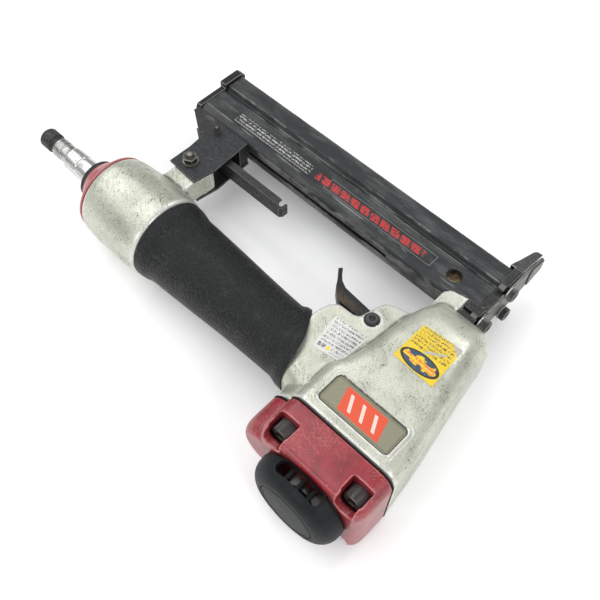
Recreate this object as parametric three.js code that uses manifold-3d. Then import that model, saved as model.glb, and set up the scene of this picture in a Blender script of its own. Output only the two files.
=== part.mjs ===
// Pneumatic flooring tacker lying on its right side, millimetres.
// +X runs forward to the nose plate, +Y runs from the exhaust to the contact foot,
// +Z is up off the table and MID is the height of the tool's middle plane.

import * as THREE from 'three';
import { mergeVertices } from 'three/addons/utils/BufferGeometryUtils.js';
import Module from 'manifold-3d';

const wasm = await Module();
wasm.setup();

// Shift that puts the origin under the middle of the whole tool.
const ORIGIN = [43.4, -12.5, -1.5];

// Shared levels and axes.
const MID = 30;
const BORE_X = 77;
const HANDLE_Y = -23.5;
const GAP = 0.1;

// Head casting: one row per height Y, then rear X, front X, half width, corner radius.
const HEAD_ROWS = [
  [-52, 44, 109, 28.5, 9],
  [-26, 44.6, 106, 28.5, 9],
  [-15, 49.2, 104.3, 28.4, 9.5],
  [-5, 51.2, 102.6, 28.3, 10],
  [20, 53.6, 98.6, 27.6, 11],
  [32, 55.4, 97, 25, 11],
  [40, 57.5, 96, 20.5, 10],
  [46.5, 59.5, 92, 14, 8],
];
const LOBE = { x0: 32, x1: 66, half: 15.5, radius: 15, top: -36 };
const LINER_OUTER = 18.6;
const LINER_INNER = 16;
const CHAMBER_RADIUS = 22.8;
const CAP_BORE = 17.5;

// Handle core, rear collar and the rubber sleeve: X, half size along Y, half size along Z.
const CORE_ROWS = [
  [-92, 19.8, 18.2],
  [-60, 19.4, 17.8],
  [-20, 17.4, 16.4],
  [10, 16.6, 14.8],
  [28, 15.6, 13],
  [54, 15, 12],
];
const SLEEVE_ROWS = [
  [-82, 25.6, 25],
  [-77, 25.2, 24.2],
  [-72, 24, 22],
  [-62, 23.4, 21.2],
  [-20, 21, 19.6],
  [2, 20, 18.8],
  [6, 20.2, 19.2],
  [8, 22, 21],
  [10, 22.2, 21.2],
];
const COLLAR_PROFILE = [
  [-130, 24.8],
  [-126, 25.8],
  [-114, 26.8],
  [-92, 27],
  [-86, 26.7],
  [-82.2, 26],
];

// Red cap over the cylinder and its four corner screws.
const GASKET_Y = -52;
const GASKET_T = 0.6;
const CAP_Y0 = GASKET_Y - GASKET_T - 2 * GAP;
const CAP_Y1 = -76;
const CAP_SCREW_X = [53.2, 98.9];
const CAP_SCREW_HALF = 18;
const CAP_LEDGE_Y = -62;
const DEFLECTOR = { x: 76.5, base: -76.4, top: -90, radius: 26, topRadius: 19, wall: 2.4 };

// Magazine, its inner rail and the nose.
const MAG_X0 = -139.9;
const MAG_X1 = 74.85;
const MAG_TOP_Y = 54.8;
const MAG_SPLIT_Y = 77.2;
const MAG_BOTTOM_Y = 92.3;
const MAG_HALF = 8.8;
const BAND_HALF = 10;
const GROOVE_HALF = 7.2;
const WALL = 1.3;
const SLOT_HALF = 1.6;
const SIGHT_HOLE = { x: 53.4, y: 66.6, radius: 4.5 };
const RAIL = { x0: -136, x1: 74.5, y0: 64.3, y1: 81.8, half: 3.4 };
const STAPLE = { half: 5, y0: 62.5, y1: 81.8, wire: 1.2, x0: 28.4, x1: 74.7 };
const NOSE_X0 = 75;
const NOSE_X1 = 79.9;
const PLATE_X0 = 80;
const PLATE_X1 = 81.6;
const DRIVER = { x0: 78.1, x1: 79.5, half: 4.9, tip: 61.5 };
const NOSE_SCREW_Y = [52, 78];
const NOSE_SCREW_HALF = 9.8;

// Trigger, latch and bracket.
const TRIGGER_PIN = [41.5, 10.5];
const VALVE_X = 30;
const HOUSING_HALF = 15.5;
const LATCH_PIN = [-115.8, 47.2];
const LUG_BOLT = [-110.6, 20.5];
const PLATE_HALF = 7.8;
const PLATE_T = 1.4;
const LEVER_HALF = 5.6;
const COLLAR_Y = -23.6;

const group = new THREE.Group();

function add(name, geometry, color, metalness, roughness) {
  const moved = geometry.clone();
  moved.translate(ORIGIN[0], ORIGIN[1], ORIGIN[2]);
  moved.computeVertexNormals();
  const material = new THREE.MeshStandardMaterial({ color, metalness, roughness });
  const mesh = new THREE.Mesh(moved, material);
  mesh.name = name;
  group.add(mesh);
}

// Manifold helpers: every boolean goes through these four.
function toManifold(geometry) {
  const bare = new THREE.BufferGeometry();
  bare.setAttribute('position', geometry.getAttribute('position').clone());
  if (geometry.index) {
    bare.setIndex(geometry.index.clone());
  }
  const welded = mergeVertices(bare, 1e-4);
  const vertProperties = new Float32Array(welded.getAttribute('position').array);
  const triVerts = new Uint32Array(welded.index.array);
  return new wasm.Manifold(new wasm.Mesh({ numProp: 3, vertProperties, triVerts }));
}

function fromManifold(solid) {
  const mesh = solid.getMesh();
  const geometry = new THREE.BufferGeometry();
  geometry.setAttribute('position', new THREE.BufferAttribute(new Float32Array(mesh.vertProperties), 3));
  geometry.setIndex(new THREE.BufferAttribute(new Uint32Array(mesh.triVerts), 1));
  return geometry;
}

function union(parts) {
  let solid = toManifold(parts[0]);
  for (const part of parts.slice(1)) {
    solid = solid.add(toManifold(part));
  }
  return fromManifold(solid);
}

function cut(base, tools) {
  let solid = toManifold(base);
  for (const tool of tools) {
    solid = solid.subtract(toManifold(tool));
  }
  return fromManifold(solid);
}

// Basic solids placed straight in tool coordinates; h is the height from the middle plane.
function block(x0, x1, y0, y1, h0, h1) {
  const geometry = new THREE.BoxGeometry(x1 - x0, y1 - y0, h1 - h0);
  geometry.translate((x0 + x1) / 2, (y0 + y1) / 2, MID + (h0 + h1) / 2);
  return geometry;
}

function prismZ(points, h0, h1) {
  const shape = new THREE.Shape(points.map(([x, y]) => new THREE.Vector2(x, y)));
  const geometry = new THREE.ExtrudeGeometry(shape, { depth: h1 - h0, bevelEnabled: false });
  geometry.translate(0, 0, MID + h0);
  return geometry;
}

// Points are [Y, h] pairs drawn across the magazine, swept from x0 to x1.
function prismX(points, x0, x1) {
  const shape = new THREE.Shape(points.map(([y, h]) => new THREE.Vector2(y, h)));
  const geometry = new THREE.ExtrudeGeometry(shape, { depth: x1 - x0, bevelEnabled: false });
  geometry.applyMatrix4(new THREE.Matrix4().set(0, 0, 1, x0, 1, 0, 0, 0, 0, 1, 0, MID, 0, 0, 0, 1));
  return geometry;
}

// A profile that does not touch the axis is closed on itself.
function closed(profile) {
  return profile[0][1] > 0 ? [...profile, profile[0]] : profile;
}

function latheY(profile, x, h, segments) {
  const points = closed(profile).map(([y, r]) => new THREE.Vector2(r, y));
  const geometry = new THREE.LatheGeometry(points, segments);
  geometry.translate(x, 0, MID + h);
  return outward(geometry);
}

function latheX(profile, y, h, segments) {
  const points = closed(profile).map(([x, r]) => new THREE.Vector2(r, x));
  const geometry = new THREE.LatheGeometry(points, segments);
  geometry.rotateZ(-Math.PI / 2);
  geometry.translate(0, y, MID + h);
  return outward(geometry);
}

function latheZ(profile, x, y, segments) {
  const points = closed(profile).map(([h, r]) => new THREE.Vector2(r, h));
  const geometry = new THREE.LatheGeometry(points, segments);
  geometry.rotateX(Math.PI / 2);
  geometry.translate(x, y, MID);
  return outward(geometry);
}

function rodY(x, h, radius, y0, y1, segments = 20) {
  return latheY([[y0, 0], [y0, radius], [y1, radius], [y1, 0]], x, h, segments);
}

function rodX(y, h, radius, x0, x1, segments = 20) {
  return latheX([[x0, 0], [x0, radius], [x1, radius], [x1, 0]], y, h, segments);
}

function rodZ(x, y, radius, h0, h1, segments = 20) {
  return latheZ([[h0, 0], [h0, radius], [h1, radius], [h1, 0]], x, y, segments);
}

// Turns the faces over when the signed volume comes out negative.
function outward(geometry) {
  const bare = new THREE.BufferGeometry();
  bare.setAttribute('position', geometry.getAttribute('position').clone());
  bare.setIndex(geometry.index.clone());
  const solid = mergeVertices(bare, 1e-4);
  const p = solid.getAttribute('position');
  const index = solid.index.array;
  const a = new THREE.Vector3();
  const b = new THREE.Vector3();
  const c = new THREE.Vector3();
  let volume = 0;
  const kept = [];
  for (let i = 0; i < index.length; i += 3) {
    const [i0, i1, i2] = [index[i], index[i + 1], index[i + 2]];
    if (i0 === i1 || i1 === i2 || i0 === i2) {
      continue;
    }
    a.fromBufferAttribute(p, i0);
    b.fromBufferAttribute(p, i1);
    c.fromBufferAttribute(p, i2);
    volume += a.dot(b.cross(c));
    kept.push(i0, i1, i2);
  }
  if (volume < 0) {
    for (let i = 0; i < kept.length; i += 3) {
      [kept[i + 1], kept[i + 2]] = [kept[i + 2], kept[i + 1]];
    }
  }
  solid.setIndex(kept);
  return solid;
}

// Skins a list of equal-length closed rings and closes both ends with a fan.
function skin(rings) {
  const positions = [];
  const index = [];
  const count = rings[0].length;
  for (const ring of rings) {
    for (const point of ring) {
      positions.push(...point);
    }
  }
  for (let r = 0; r + 1 < rings.length; r += 1) {
    for (let i = 0; i < count; i += 1) {
      const j = (i + 1) % count;
      const a = r * count + i;
      const b = r * count + j;
      index.push(a, b, b + count, a, b + count, a + count);
    }
  }
  for (const [r, flip] of [[0, true], [rings.length - 1, false]]) {
    const centre = [0, 0, 0];
    for (const point of rings[r]) {
      for (let k = 0; k < 3; k += 1) {
        centre[k] += point[k] / count;
      }
    }
    const c = positions.length / 3;
    positions.push(...centre);
    for (let i = 0; i < count; i += 1) {
      const a = r * count + i;
      const b = r * count + ((i + 1) % count);
      index.push(c, flip ? b : a, flip ? a : b);
    }
  }
  const geometry = new THREE.BufferGeometry();
  geometry.setAttribute('position', new THREE.Float32BufferAttribute(positions, 3));
  geometry.setIndex(index);
  return outward(geometry);
}

// Rounded rectangle as [u, h] pairs, half wide on each side of the middle plane.
function roundedRect(u0, u1, half, radius, perCorner = 5) {
  const outline = [];
  const corners = [
    [u1 - radius, half - radius],
    [u0 + radius, half - radius],
    [u0 + radius, radius - half],
    [u1 - radius, radius - half],
  ];
  corners.forEach(([cu, ch], quarter) => {
    for (let i = 0; i < perCorner; i += 1) {
      const angle = (quarter + i / (perCorner - 1)) * Math.PI / 2;
      outline.push([cu + radius * Math.cos(angle), ch + radius * Math.sin(angle)]);
    }
  });
  return outline;
}

function ringAcrossY(y, x0, x1, half, radius) {
  return roundedRect(x0, x1, half, radius).map(([x, h]) => [x, y, MID + h]);
}

function ringAcrossX(x, y0, y1, half, radius) {
  return roundedRect(y0, y1, half, radius).map(([y, h]) => [x, y, MID + h]);
}

// Ellipse ring lying across X; lean slides each point along X with its own height.
function ovalRing(x, halfY, halfZ, centreY = HANDLE_Y, lean = () => 0, count = 28) {
  const ring = [];
  for (let i = 0; i < count; i += 1) {
    const angle = i / count * 2 * Math.PI;
    const y = centreY + halfY * Math.cos(angle);
    const h = halfZ * Math.sin(angle);
    ring.push([x + lean(y, h), y, MID + h]);
  }
  return ring;
}

function hexRod(axis, a, b, radius, from, to) {
  const rod = { x: rodX, y: rodY, z: rodZ }[axis];
  return rod(a, b, radius, from, to, 6);
}

// Coil spring along +X or +Y from start, one wire circle swept on a helix.
function coil(axis, start, length, ringRadius, wireRadius, turns, a, h) {
  const points = [];
  const steps = turns * 6;
  for (let i = 0; i <= steps; i += 1) {
    const angle = i / 6 * 2 * Math.PI;
    const along = start + length * i / steps;
    const u = a + ringRadius * Math.cos(angle);
    const v = MID + h + ringRadius * Math.sin(angle);
    points.push(axis === 'x' ? new THREE.Vector3(along, u, v) : new THREE.Vector3(u, along, v));
  }
  const circle = new THREE.Shape();
  circle.absarc(0, 0, wireRadius, 0, 2 * Math.PI);
  const extrudePath = new THREE.CatmullRomCurve3(points);
  return new THREE.ExtrudeGeometry(circle, { steps, curveSegments: 2, extrudePath, bevelEnabled: false });
}

// Outline shared by the head's top face, the gasket and the red cap, from a list of [Y, inset].
function capOutline(levels) {
  const main = levels.map(([y, d]) => ringAcrossY(y, 44 + d, 109 - d, 28.5 - d, 9 - d / 2));
  const lobe = levels.map(([y, d]) => ringAcrossY(y, LOBE.x0 + d, LOBE.x1, LOBE.half - d, LOBE.radius - d));
  return union([skin(main), skin(lobe)]);
}

function capScrewSpots() {
  const spots = [];
  for (const x of CAP_SCREW_X) {
    for (const h of [CAP_SCREW_HALF, -CAP_SCREW_HALF]) {
      spots.push([x, h]);
    }
  }
  return spots;
}

function bodyCasting() {
  const head = skin(HEAD_ROWS.map(([y, x0, x1, half, radius]) => ringAcrossY(y, x0, x1, half, radius)));
  const lobe = skin([
    ringAcrossY(-24, 46, LOBE.x1, LOBE.half, LOBE.radius - 6),
    ringAcrossY(LOBE.top, 34, LOBE.x1, LOBE.half, LOBE.radius - 1),
    ringAcrossY(GASKET_Y, LOBE.x0, LOBE.x1, LOBE.half, LOBE.radius),
  ]);
  const neck = skin([
    ringAcrossX(14, -41, -5, 12, 11),
    ringAcrossX(30, -44.5, 1, HOUSING_HALF, 13),
    ringAcrossX(48, -50, 8, HOUSING_HALF, 12),
    ringAcrossX(62, -52, 10, HOUSING_HALF + 2, 12),
  ]);
  const housing = prismZ([
    [17, -14], [16.4, -7], [17.5, -1.8], [19.2, 2.5], [22, 6], [35.1, 6.8], [37.1, 14.8],
    [39.9, 23.6], [53.3, 28.1], [60, 33], [60, -36], [30, -36],
  ], -HOUSING_HALF, HOUSING_HALF);
  const collar = latheX([[-130, 0], ...COLLAR_PROFILE, [-82.2, 0]], COLLAR_Y, 0, 36);
  const lug = prismZ([
    [-115.8, -6], [-115.8, 25], [-112, 27.4], [-99, 27.4], [-95.6, 25], [-97.4, 11], [-97.4, -6],
  ], -PLATE_HALF + GAP, PLATE_HALF - GAP);
  const boss = prismZ([[56, 36], [56, 53], [58.5, 56.8], [69.5, 59.4], [69.5, 36]], -11.5, 11.5);
  const shell = cut(union([head, lobe, neck, housing, collar, lug, boss]), [sleeveSolid(0.2)]);
  const solid = union([shell, coreSolid(0)]);
  const tools = [
    rodY(BORE_X, 0, CHAMBER_RADIUS, GASKET_Y - 1, -12, 40),
    rodY(BORE_X, 0, LINER_OUTER + GAP, -13, 24, 40),
    block(DRIVER.x0 - 0.4, DRIVER.x1 + 0.4, 23, 50, -5.3, 5.3),
    rodX(HANDLE_Y, 0, 11, -132, 58),
    rodX(COLLAR_Y, 0, 20.2, -132, -119, 32),
    block(10, 51.5, 5, 40, -5, 5),
    rodY(VALVE_X, 0, 7.1, -16, 8),
    rodZ(TRIGGER_PIN[0], TRIGGER_PIN[1], 2.6, -17, 17),
    block(50, 75, MAG_TOP_Y - 0.4, 62, -MAG_HALF - 0.3, MAG_HALF + 0.3),
    rodZ(LUG_BOLT[0], LUG_BOLT[1], 2.65, -14, 14),
    block(54.6, 97.4, -45.6, -29.4, 28.5 - 0.9, 32),
  ];
  for (const [x, h] of capScrewSpots()) {
    tools.push(rodY(x, h, 3.15, GASKET_Y - 1, -36));
  }
  return cut(solid, tools);
}

// The front lip of the rubber sleeve leans forward on the hand side of the head.
function neckLean(y, h) {
  const across = (HANDLE_Y + 22 - y) / 44;
  return 18 * across + 8 - 8 * Math.sqrt(Math.max(0, 1 - (h / 21.6) ** 2));
}

// Handle core under the rubber, grown by extra all round.
function coreSolid(extra) {
  return skin(CORE_ROWS.map(([x, halfY, halfZ]) => ovalRing(x, halfY + extra, halfZ + extra)));
}

// Outside of the rubber sleeve as one solid, grown by extra all round.
function sleeveSolid(extra) {
  const last = SLEEVE_ROWS.length - 1;
  return skin(SLEEVE_ROWS.map(([x, halfY, halfZ], i) => {
    const end = { 0: -extra, [last]: extra }[i] ?? 0;
    const share = Math.max(0, (x + 20) / 30);
    const lean = (y, h) => share * neckLean(y, h);
    return ovalRing(x + end, halfY + extra, halfZ + extra, HANDLE_Y, lean);
  }));
}

function topCap() {
  const tools = [
    rodY(BORE_X, 0, CAP_BORE, CAP_Y0 + 1, -66, 32),
    rodY(DEFLECTOR.x, 0, 2.65, CAP_Y1 - 1, -60),
  ];
  for (const quarter of [0, 1, 2, 3]) {
    const angle = (quarter + 0.5) * Math.PI / 2;
    const [dx, dh] = [12 * Math.cos(angle), 12 * Math.sin(angle)];
    tools.push(rodY(DEFLECTOR.x + dx, dh, 3.6, CAP_Y1 - 1, -64, 12));
  }
  for (const [x, h] of capScrewSpots()) {
    const side = Math.sign(h);
    const [h0, h1] = [side * 12, side * 32].sort((p, q) => p - q);
    tools.push(block(x - 6.1, x + 6.1, -82, CAP_LEDGE_Y, h0, h1));
    tools.push(rodY(x, h, 3.15, CAP_LEDGE_Y - 1, CAP_Y0 + 1));
  }
  return cut(capOutline([[CAP_Y0, 0], [-70.4, 0], [-74.4, 1.2], [CAP_Y1, 3.4]]), tools);
}

function gasket() {
  const tools = [rodY(BORE_X, 0, CAP_BORE, -54, -51, 32)];
  for (const [x, h] of capScrewSpots()) {
    tools.push(rodY(x, h, 3.15, -54, -51));
  }
  const y0 = GASKET_Y - GAP;
  return cut(capOutline([[y0, 0], [y0 - GASKET_T, 0]]), tools);
}

function socketScrewY(x, h) {
  const head = CAP_LEDGE_Y - GAP;
  const solid = latheY([
    [head - 7.6, 0], [head - 7.6, 4.9], [head - 7.2, 5.3], [head, 5.3], [head, 3], [-37, 3], [-37, 0],
  ], x, h, 24);
  return cut(solid, [hexRod('y', x, h, 2.9, head - 8.6, head - 4)]);
}

function socketScrewX(y, h, length, base, tip) {
  const solid = latheX([
    [tip, 0], [tip, 2.4], [base, 2.4], [base, 4], [base + length - 0.4, 4],
    [base + length, 3.6], [base + length, 0],
  ], y, h, 20);
  return cut(solid, [hexRod('x', y, h, 2.3, base + length - 2.6, base + length + 1)]);
}

function deflector() {
  const { x, base, top, radius, topRadius, wall } = DEFLECTOR;
  const shell = latheY([
    [base, 3.2], [base, radius - 0.6], [base - 1, radius], [base - 7, radius - 0.4],
    [base - 10.4, radius - 2.4], [top + 1, topRadius + 0.4], [top, topRadius - 0.8],
    [top, 16.6], [top + 1.2, 16.6], [top + 1.2, 5.2], [-86.4, 5.2], [-86.4, 3.2],
  ], x, 0, 28);
  const pocket = latheY([
    [base + 1, 7], [base + 1, radius - wall], [base - 8, radius - wall - 1.2],
    [top + 3, topRadius - wall], [top + 3, 7],
  ], x, 0, 28);
  const tools = [pocket];
  for (const quarter of [0, 2]) {
    const slot = block(-12, 12, base - 6.7, base - 1.1, 17, 32);
    slot.translate(0, 0, -MID);
    slot.rotateY(quarter * Math.PI / 2);
    slot.translate(x, 0, MID);
    tools.push(slot);
  }
  return cut(shell, tools);
}

function piston() {
  return latheY([
    [-45.4, 0], [-45.4, 15.8], [-43, 15.8], [-43, 14.4], [-40.4, 14.4], [-40.4, 15.8],
    [-37.6, 15.8], [-37.6, 6.5], [-30.5, 6.5], [-30.5, 0],
  ], BORE_X, 0, 36);
}

function magazineHalfProfile(points) {
  const mirrored = [...points].reverse().map(([y, h]) => [y, -h]);
  return [points, mirrored];
}

function magazineUpper() {
  const outer = [
    [MAG_TOP_Y, SLOT_HALF], [MAG_TOP_Y, 4.4], [55.6, 6.6], [57.6, 8.2], [60.5, MAG_HALF],
    [75.4, MAG_HALF], [76.4, GROOVE_HALF + 0.4], [MAG_SPLIT_Y, GROOVE_HALF],
    [MAG_SPLIT_Y, GROOVE_HALF - WALL], [75.4, GROOVE_HALF - WALL + 0.4],
    [74.6, MAG_HALF - WALL], [60.5, MAG_HALF - WALL], [58.4, 7], [56.4, 5.4],
    [MAG_TOP_Y + WALL, 4], [MAG_TOP_Y + WALL, SLOT_HALF],
  ];
  // One side wall carries the slot edge; the two sides meet through the front and rear straps.
  const [near, far] = magazineHalfProfile(outer);
  const strap0 = block(MAG_X0, MAG_X0 + 3, MAG_TOP_Y, MAG_TOP_Y + WALL, -2, 2);
  const strap1 = block(MAG_X1 - 60, MAG_X1, MAG_TOP_Y, MAG_TOP_Y + WALL, -2, 2);
  const sides = union([prismX(near, MAG_X0, MAG_X1), prismX(far, MAG_X0, MAG_X1), strap0, strap1]);
  return cut(sides, [rodZ(SIGHT_HOLE.x, SIGHT_HOLE.y, SIGHT_HOLE.radius, -12, 12)]);
}

function magazineLower() {
  const y0 = MAG_SPLIT_Y + GAP;
  const half = [
    [y0, GROOVE_HALF - WALL], [y0, GROOVE_HALF], [78.4, GROOVE_HALF + 0.2], [79.4, BAND_HALF - 0.5],
    [80, BAND_HALF], [91.3, BAND_HALF], [MAG_BOTTOM_Y, BAND_HALF - 1],
  ];
  const inside = [
    [MAG_BOTTOM_Y - WALL, BAND_HALF - WALL - 0.6], [90, BAND_HALF - WALL], [80.8, BAND_HALF - WALL],
    [79.6, GROOVE_HALF - WALL],
  ];
  const near = [...half];
  const far = [...half].reverse().map(([y, h]) => [y, -h]);
  const innerFar = inside.map(([y, h]) => [y, -h]).reverse();
  return prismX([...near, ...far, ...innerFar, ...inside], MAG_X0, MAG_X1);
}

function endPlate() {
  const wide = prismX([[MAG_SPLIT_Y, -12], [92, -12], [94.6, -9.4], [94.6, 9.4], [92, 12], [MAG_SPLIT_Y, 12]], -145.4, -140);
  const narrow = prismX([[56, -9.2], [78, -9.2], [78, 9.2], [56, 9.2], [54.6, 6.4], [54.6, -6.4]], -144, -140);
  return union([wide, narrow]);
}

function stapleStrip() {
  const { half, y0, y1, wire, x0, x1 } = STAPLE;
  const arch = [
    [y0, -half], [y0, half], [y1, half], [y1, half - wire], [y0 + wire, half - wire],
    [y0 + wire, -half + wire], [y1, -half + wire], [y1, -half],
  ];
  return prismX(arch, x0, x1);
}

function pusher() {
  const arch = [
    [62.4, -5.2], [62.4, 5.2], [90, 5.2], [90, -5.2],
  ];
  const window = block(5, 29, RAIL.y0 - 0.4, RAIL.y1 + 0.4, -RAIL.half - 0.3, RAIL.half + 0.3);
  const crownSlot = block(5, 29, 62, 64.5, -1.2, 1.2);
  return cut(prismX(arch, 6, 28), [window, crownSlot]);
}

function noseBase() {
  const yoke = block(70.2, NOSE_X1, 47, 58.8, -12, 12);
  const waist = block(NOSE_X0, NOSE_X1, 58, 79, -8.4, 8.4);
  const wing = prismX([[77.5, -11.6], [92.6, -11.6], [94.1, -10.2], [94.1, 10.2], [92.6, 11.6], [77.5, 11.6]], NOSE_X0, NOSE_X1);
  const tools = [
    block(60, NOSE_X0, MAG_TOP_Y - 0.4, 100, -MAG_HALF - 0.3, MAG_HALF + 0.3),
    block(DRIVER.x0 - 0.4, 82, 40, 100, -5.3, 5.3),
    block(74, 80, 61.8, 90.4, -5.3, 5.3),
  ];
  for (const y of NOSE_SCREW_Y) {
    for (const side of [1, -1]) {
      tools.push(rodX(y, side * NOSE_SCREW_HALF, 2.5, 70, 82, 14));
    }
  }
  return cut(union([yoke, waist, wing]), tools);
}

function contactFoot() {
  const side = prismZ([
    [71.4, 94.2], [73, 101], [75, 112.6], [76.4, 114.6], [NOSE_X1, 115], [NOSE_X1, 94.2],
  ], -9.5, 9.5);
  const taper = [];
  for (const s of [1, -1]) {
    taper.push(prismX([[96, s * 9.6], [116, s * 9.6], [116, s * 5.6]], 70, 82));
  }
  return cut(side, [...taper, block(DRIVER.x0 - 0.4, 82, 90, 118, -5.3, 5.3)]);
}

function frontPlate() {
  const outline = [
    [48.2, -9.8], [58.6, -9.8], [60.4, -8.2], [72, -8.2], [74, -9.8], [94, -9.8], [114.2, -4.6],
    [114.2, 4.6], [94, 9.8], [74, 9.8], [72, 8.2], [60.4, 8.2], [58.6, 9.8], [48.2, 9.8],
  ];
  const tools = [];
  for (const y of NOSE_SCREW_Y) {
    for (const side of [1, -1]) {
      tools.push(rodX(y, side * NOSE_SCREW_HALF, 2.55, 78, 84, 14));
    }
  }
  return cut(prismX(outline, PLATE_X0, PLATE_X1), tools);
}

function tipGuard() {
  return prismX([[101, -7.8], [113.8, -4.4], [113.8, 4.4], [101, 7.8], [100, 5], [100, -5]], PLATE_X1 + GAP, 82.3);
}

function bracketPlate(side) {
  const outline = [
    [-120, 12.3], [-119.8, 28.2], [-120.9, 37.4], [-141, 50.7], [-140.1, 54.1], [-133.2, 54.1],
    [-131.4, 51], [-125.2, 51], [-123.3, 54.1], [-96.4, 54.1], [-94.9, 26.3], [-97.2, 11],
  ];
  const h0 = side > 0 ? PLATE_HALF : -PLATE_HALF - PLATE_T;
  const holes = [
    rodZ(LUG_BOLT[0], LUG_BOLT[1], 2.65, -16, 16),
    rodZ(LATCH_PIN[0], LATCH_PIN[1], 2.1, -16, 16),
  ];
  return cut(prismZ(outline, h0, h0 + PLATE_T), holes);
}

function bracketSpacer() {
  const bar = block(-107, -97, 47.5, 54.1, -PLATE_HALF + GAP, PLATE_HALF - GAP);
  const web = block(-107, -97, 50, RAIL.y0 - GAP, -0.8, 0.8);
  return union([bar, web]);
}

function latchLever() {
  const flange = [
    [-121.4, 44], [-121.4, 50.4], [-126.6, 51.6], [-126.6, 54.3], [-123.4, 54.3], [-121.8, 52.4],
    [-115, 52.4], [-111.4, 49.6], [-110.4, 44], [-106, 40.2], [-53.4, 40.2], [-53.4, 35.4],
    [-112, 35.4], [-119, 41],
  ];
  const near = prismZ(flange, LEVER_HALF - 1.4, LEVER_HALF);
  const far = prismZ(flange, -LEVER_HALF, 1.4 - LEVER_HALF);
  const web = block(-111, -52.4, 35.4, 36.8, -LEVER_HALF, LEVER_HALF);
  const lip = prismZ([
    [-53.2, 35.4], [-51.6, 35.4], [-49.8, 37.4], [-49.8, 41.2], [-51, 41.2], [-51.4, 37.8], [-53.2, 36.8],
  ], -LEVER_HALF, 2.6);
  const holes = [rodZ(LATCH_PIN[0], LATCH_PIN[1], 2.15, -9, 9)];
  for (const x of [-81.4, -69.8, -58]) {
    holes.push(rodY(x, 1, 1.6, 33, 38, 10));
  }
  return cut(union([near, far, web, lip]), holes);
}

function trigger() {
  const outer = [
    [2.6, 28.2], [6.6, 23.4], [10, 18], [14.6, 14], [18, 13], [29.7, 13], [36, 8.6],
    [41, 7.2], [45, 10.5], [42, 14.4], [34, 19.6], [22, 20.6], [14.4, 21.2], [10, 23.4], [7, 26.4], [4.4, 30],
  ];
  const inner = [
    [14, 17], [17, 14.6], [18, 12], [30.6, 12], [36.4, 7], [46, 7], [46, 14.8], [41, 13],
    [33.4, 18.6], [20.8, 19.6],
  ];
  return cut(prismZ(outer, -4.5, 4.5), [
    prismZ(inner, -2.9, 2.9),
    rodZ(TRIGGER_PIN[0], TRIGGER_PIN[1], 2.6, -6, 6),
  ]);
}

function nameplate() {
  return block(55, 97, -45.2, -29.8, 28.5 - 0.8, 28.5 - 0.3);
}

// Thin label that follows the slight slope of the head's side.
function headLabel() {
  return prismX([[-3.8, 28.4], [-3.8, 28.55], [19.8, 27.9], [19.8, 27.75]], 66.2, 89);
}

function housingLabel() {
  const h = HOUSING_HALF + GAP;
  return prismZ([
    [30.6, -24.6], [28, -10], [26.4, -2.6], [28.4, -0.2], [44, 1.6], [47.4, 1], [46.8, -17], [44.2, -20.4],
  ], h, h + 0.15);
}

// Body shell, grip and rear air inlet.
add('body_casting', bodyCasting(), 0xb9bab2, 0.8, 0.5);
add('grip_sleeve', cut(sleeveSolid(0), [coreSolid(0.3)]), 0x1c1d1e, 0, 0.85);
add('end_cap', latheX([
  [-119.4, 20], [-130.2, 20], [-130.2, 24.8], [-131.4, 24.6], [-143.6, 13.2],
  [-143.6, 6.8], [-119.4, 6.8],
], COLLAR_Y, 0, 36), 0xa8323a, 0.1, 0.5);
add('inlet_ring', latheX([
  [-147.4, 7.6], [-147.4, 12], [-146.6, 12.7], [-144.6, 12.7], [-143.8, 12], [-143.8, 7.6],
], COLLAR_Y, 0, 32), 0x151515, 0, 0.8);
add('plug_adapter', latheX([
  [-122, 3.2], [-122, 6.6], [-147.6, 6.6], [-147.6, 7.3], [-170, 7.3], [-170.8, 6.5], [-170.8, 3.2],
], COLLAR_Y, 0, 28), 0xb9b9b4, 0.9, 0.35);
add('air_plug', latheX([
  [-171, 2.6], [-171, 5.9], [-183, 5.9], [-183, 5], [-186.6, 5], [-186.6, 6.3], [-194.6, 6.3],
  [-195.8, 5.2], [-195.8, 2.6],
], COLLAR_Y, 0, 28), 0x8a8a86, 0.9, 0.4);

// Cylinder, piston and head valve.
add('cylinder_liner', latheY([
  [-46.2, LINER_INNER], [-46.2, LINER_OUTER], [22, LINER_OUTER], [22, LINER_INNER],
], BORE_X, 0, 36), 0x9aa0a4, 0.9, 0.3);
add('piston', piston(), 0xc0c4c6, 0.9, 0.35);
add('piston_ring', latheY([[-42.9, 14.5], [-42.9, 15.9], [-40.5, 15.9], [-40.5, 14.5]], BORE_X, 0, 36), 0x111111, 0, 0.7);
add('driver_blade', block(DRIVER.x0, DRIVER.x1, -30.4, DRIVER.tip, -DRIVER.half, DRIVER.half), 0x8e9296, 1, 0.3);
add('bumper', latheY([[21.8, 7], [21.8, 15.9], [14.6, 15.9], [13.4, 14.4], [13.4, 7]], BORE_X, 0, 36), 0x2c2a22, 0, 0.8);
add('head_valve', latheY([
  [-46.4, 11], [-46.4, 20.6], [-48.6, 20.6], [-48.6, 17], [-51.6, 17], [-51.6, 9], [-50.2, 9], [-50.2, 11],
], BORE_X, 0, 36), 0xd8d8d0, 0, 0.6);
add('head_valve_spring', coil('y', -65.3, 13, 14.5, 0.6, 4, BORE_X, 0), 0xa0a0a0, 1, 0.3);

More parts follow.
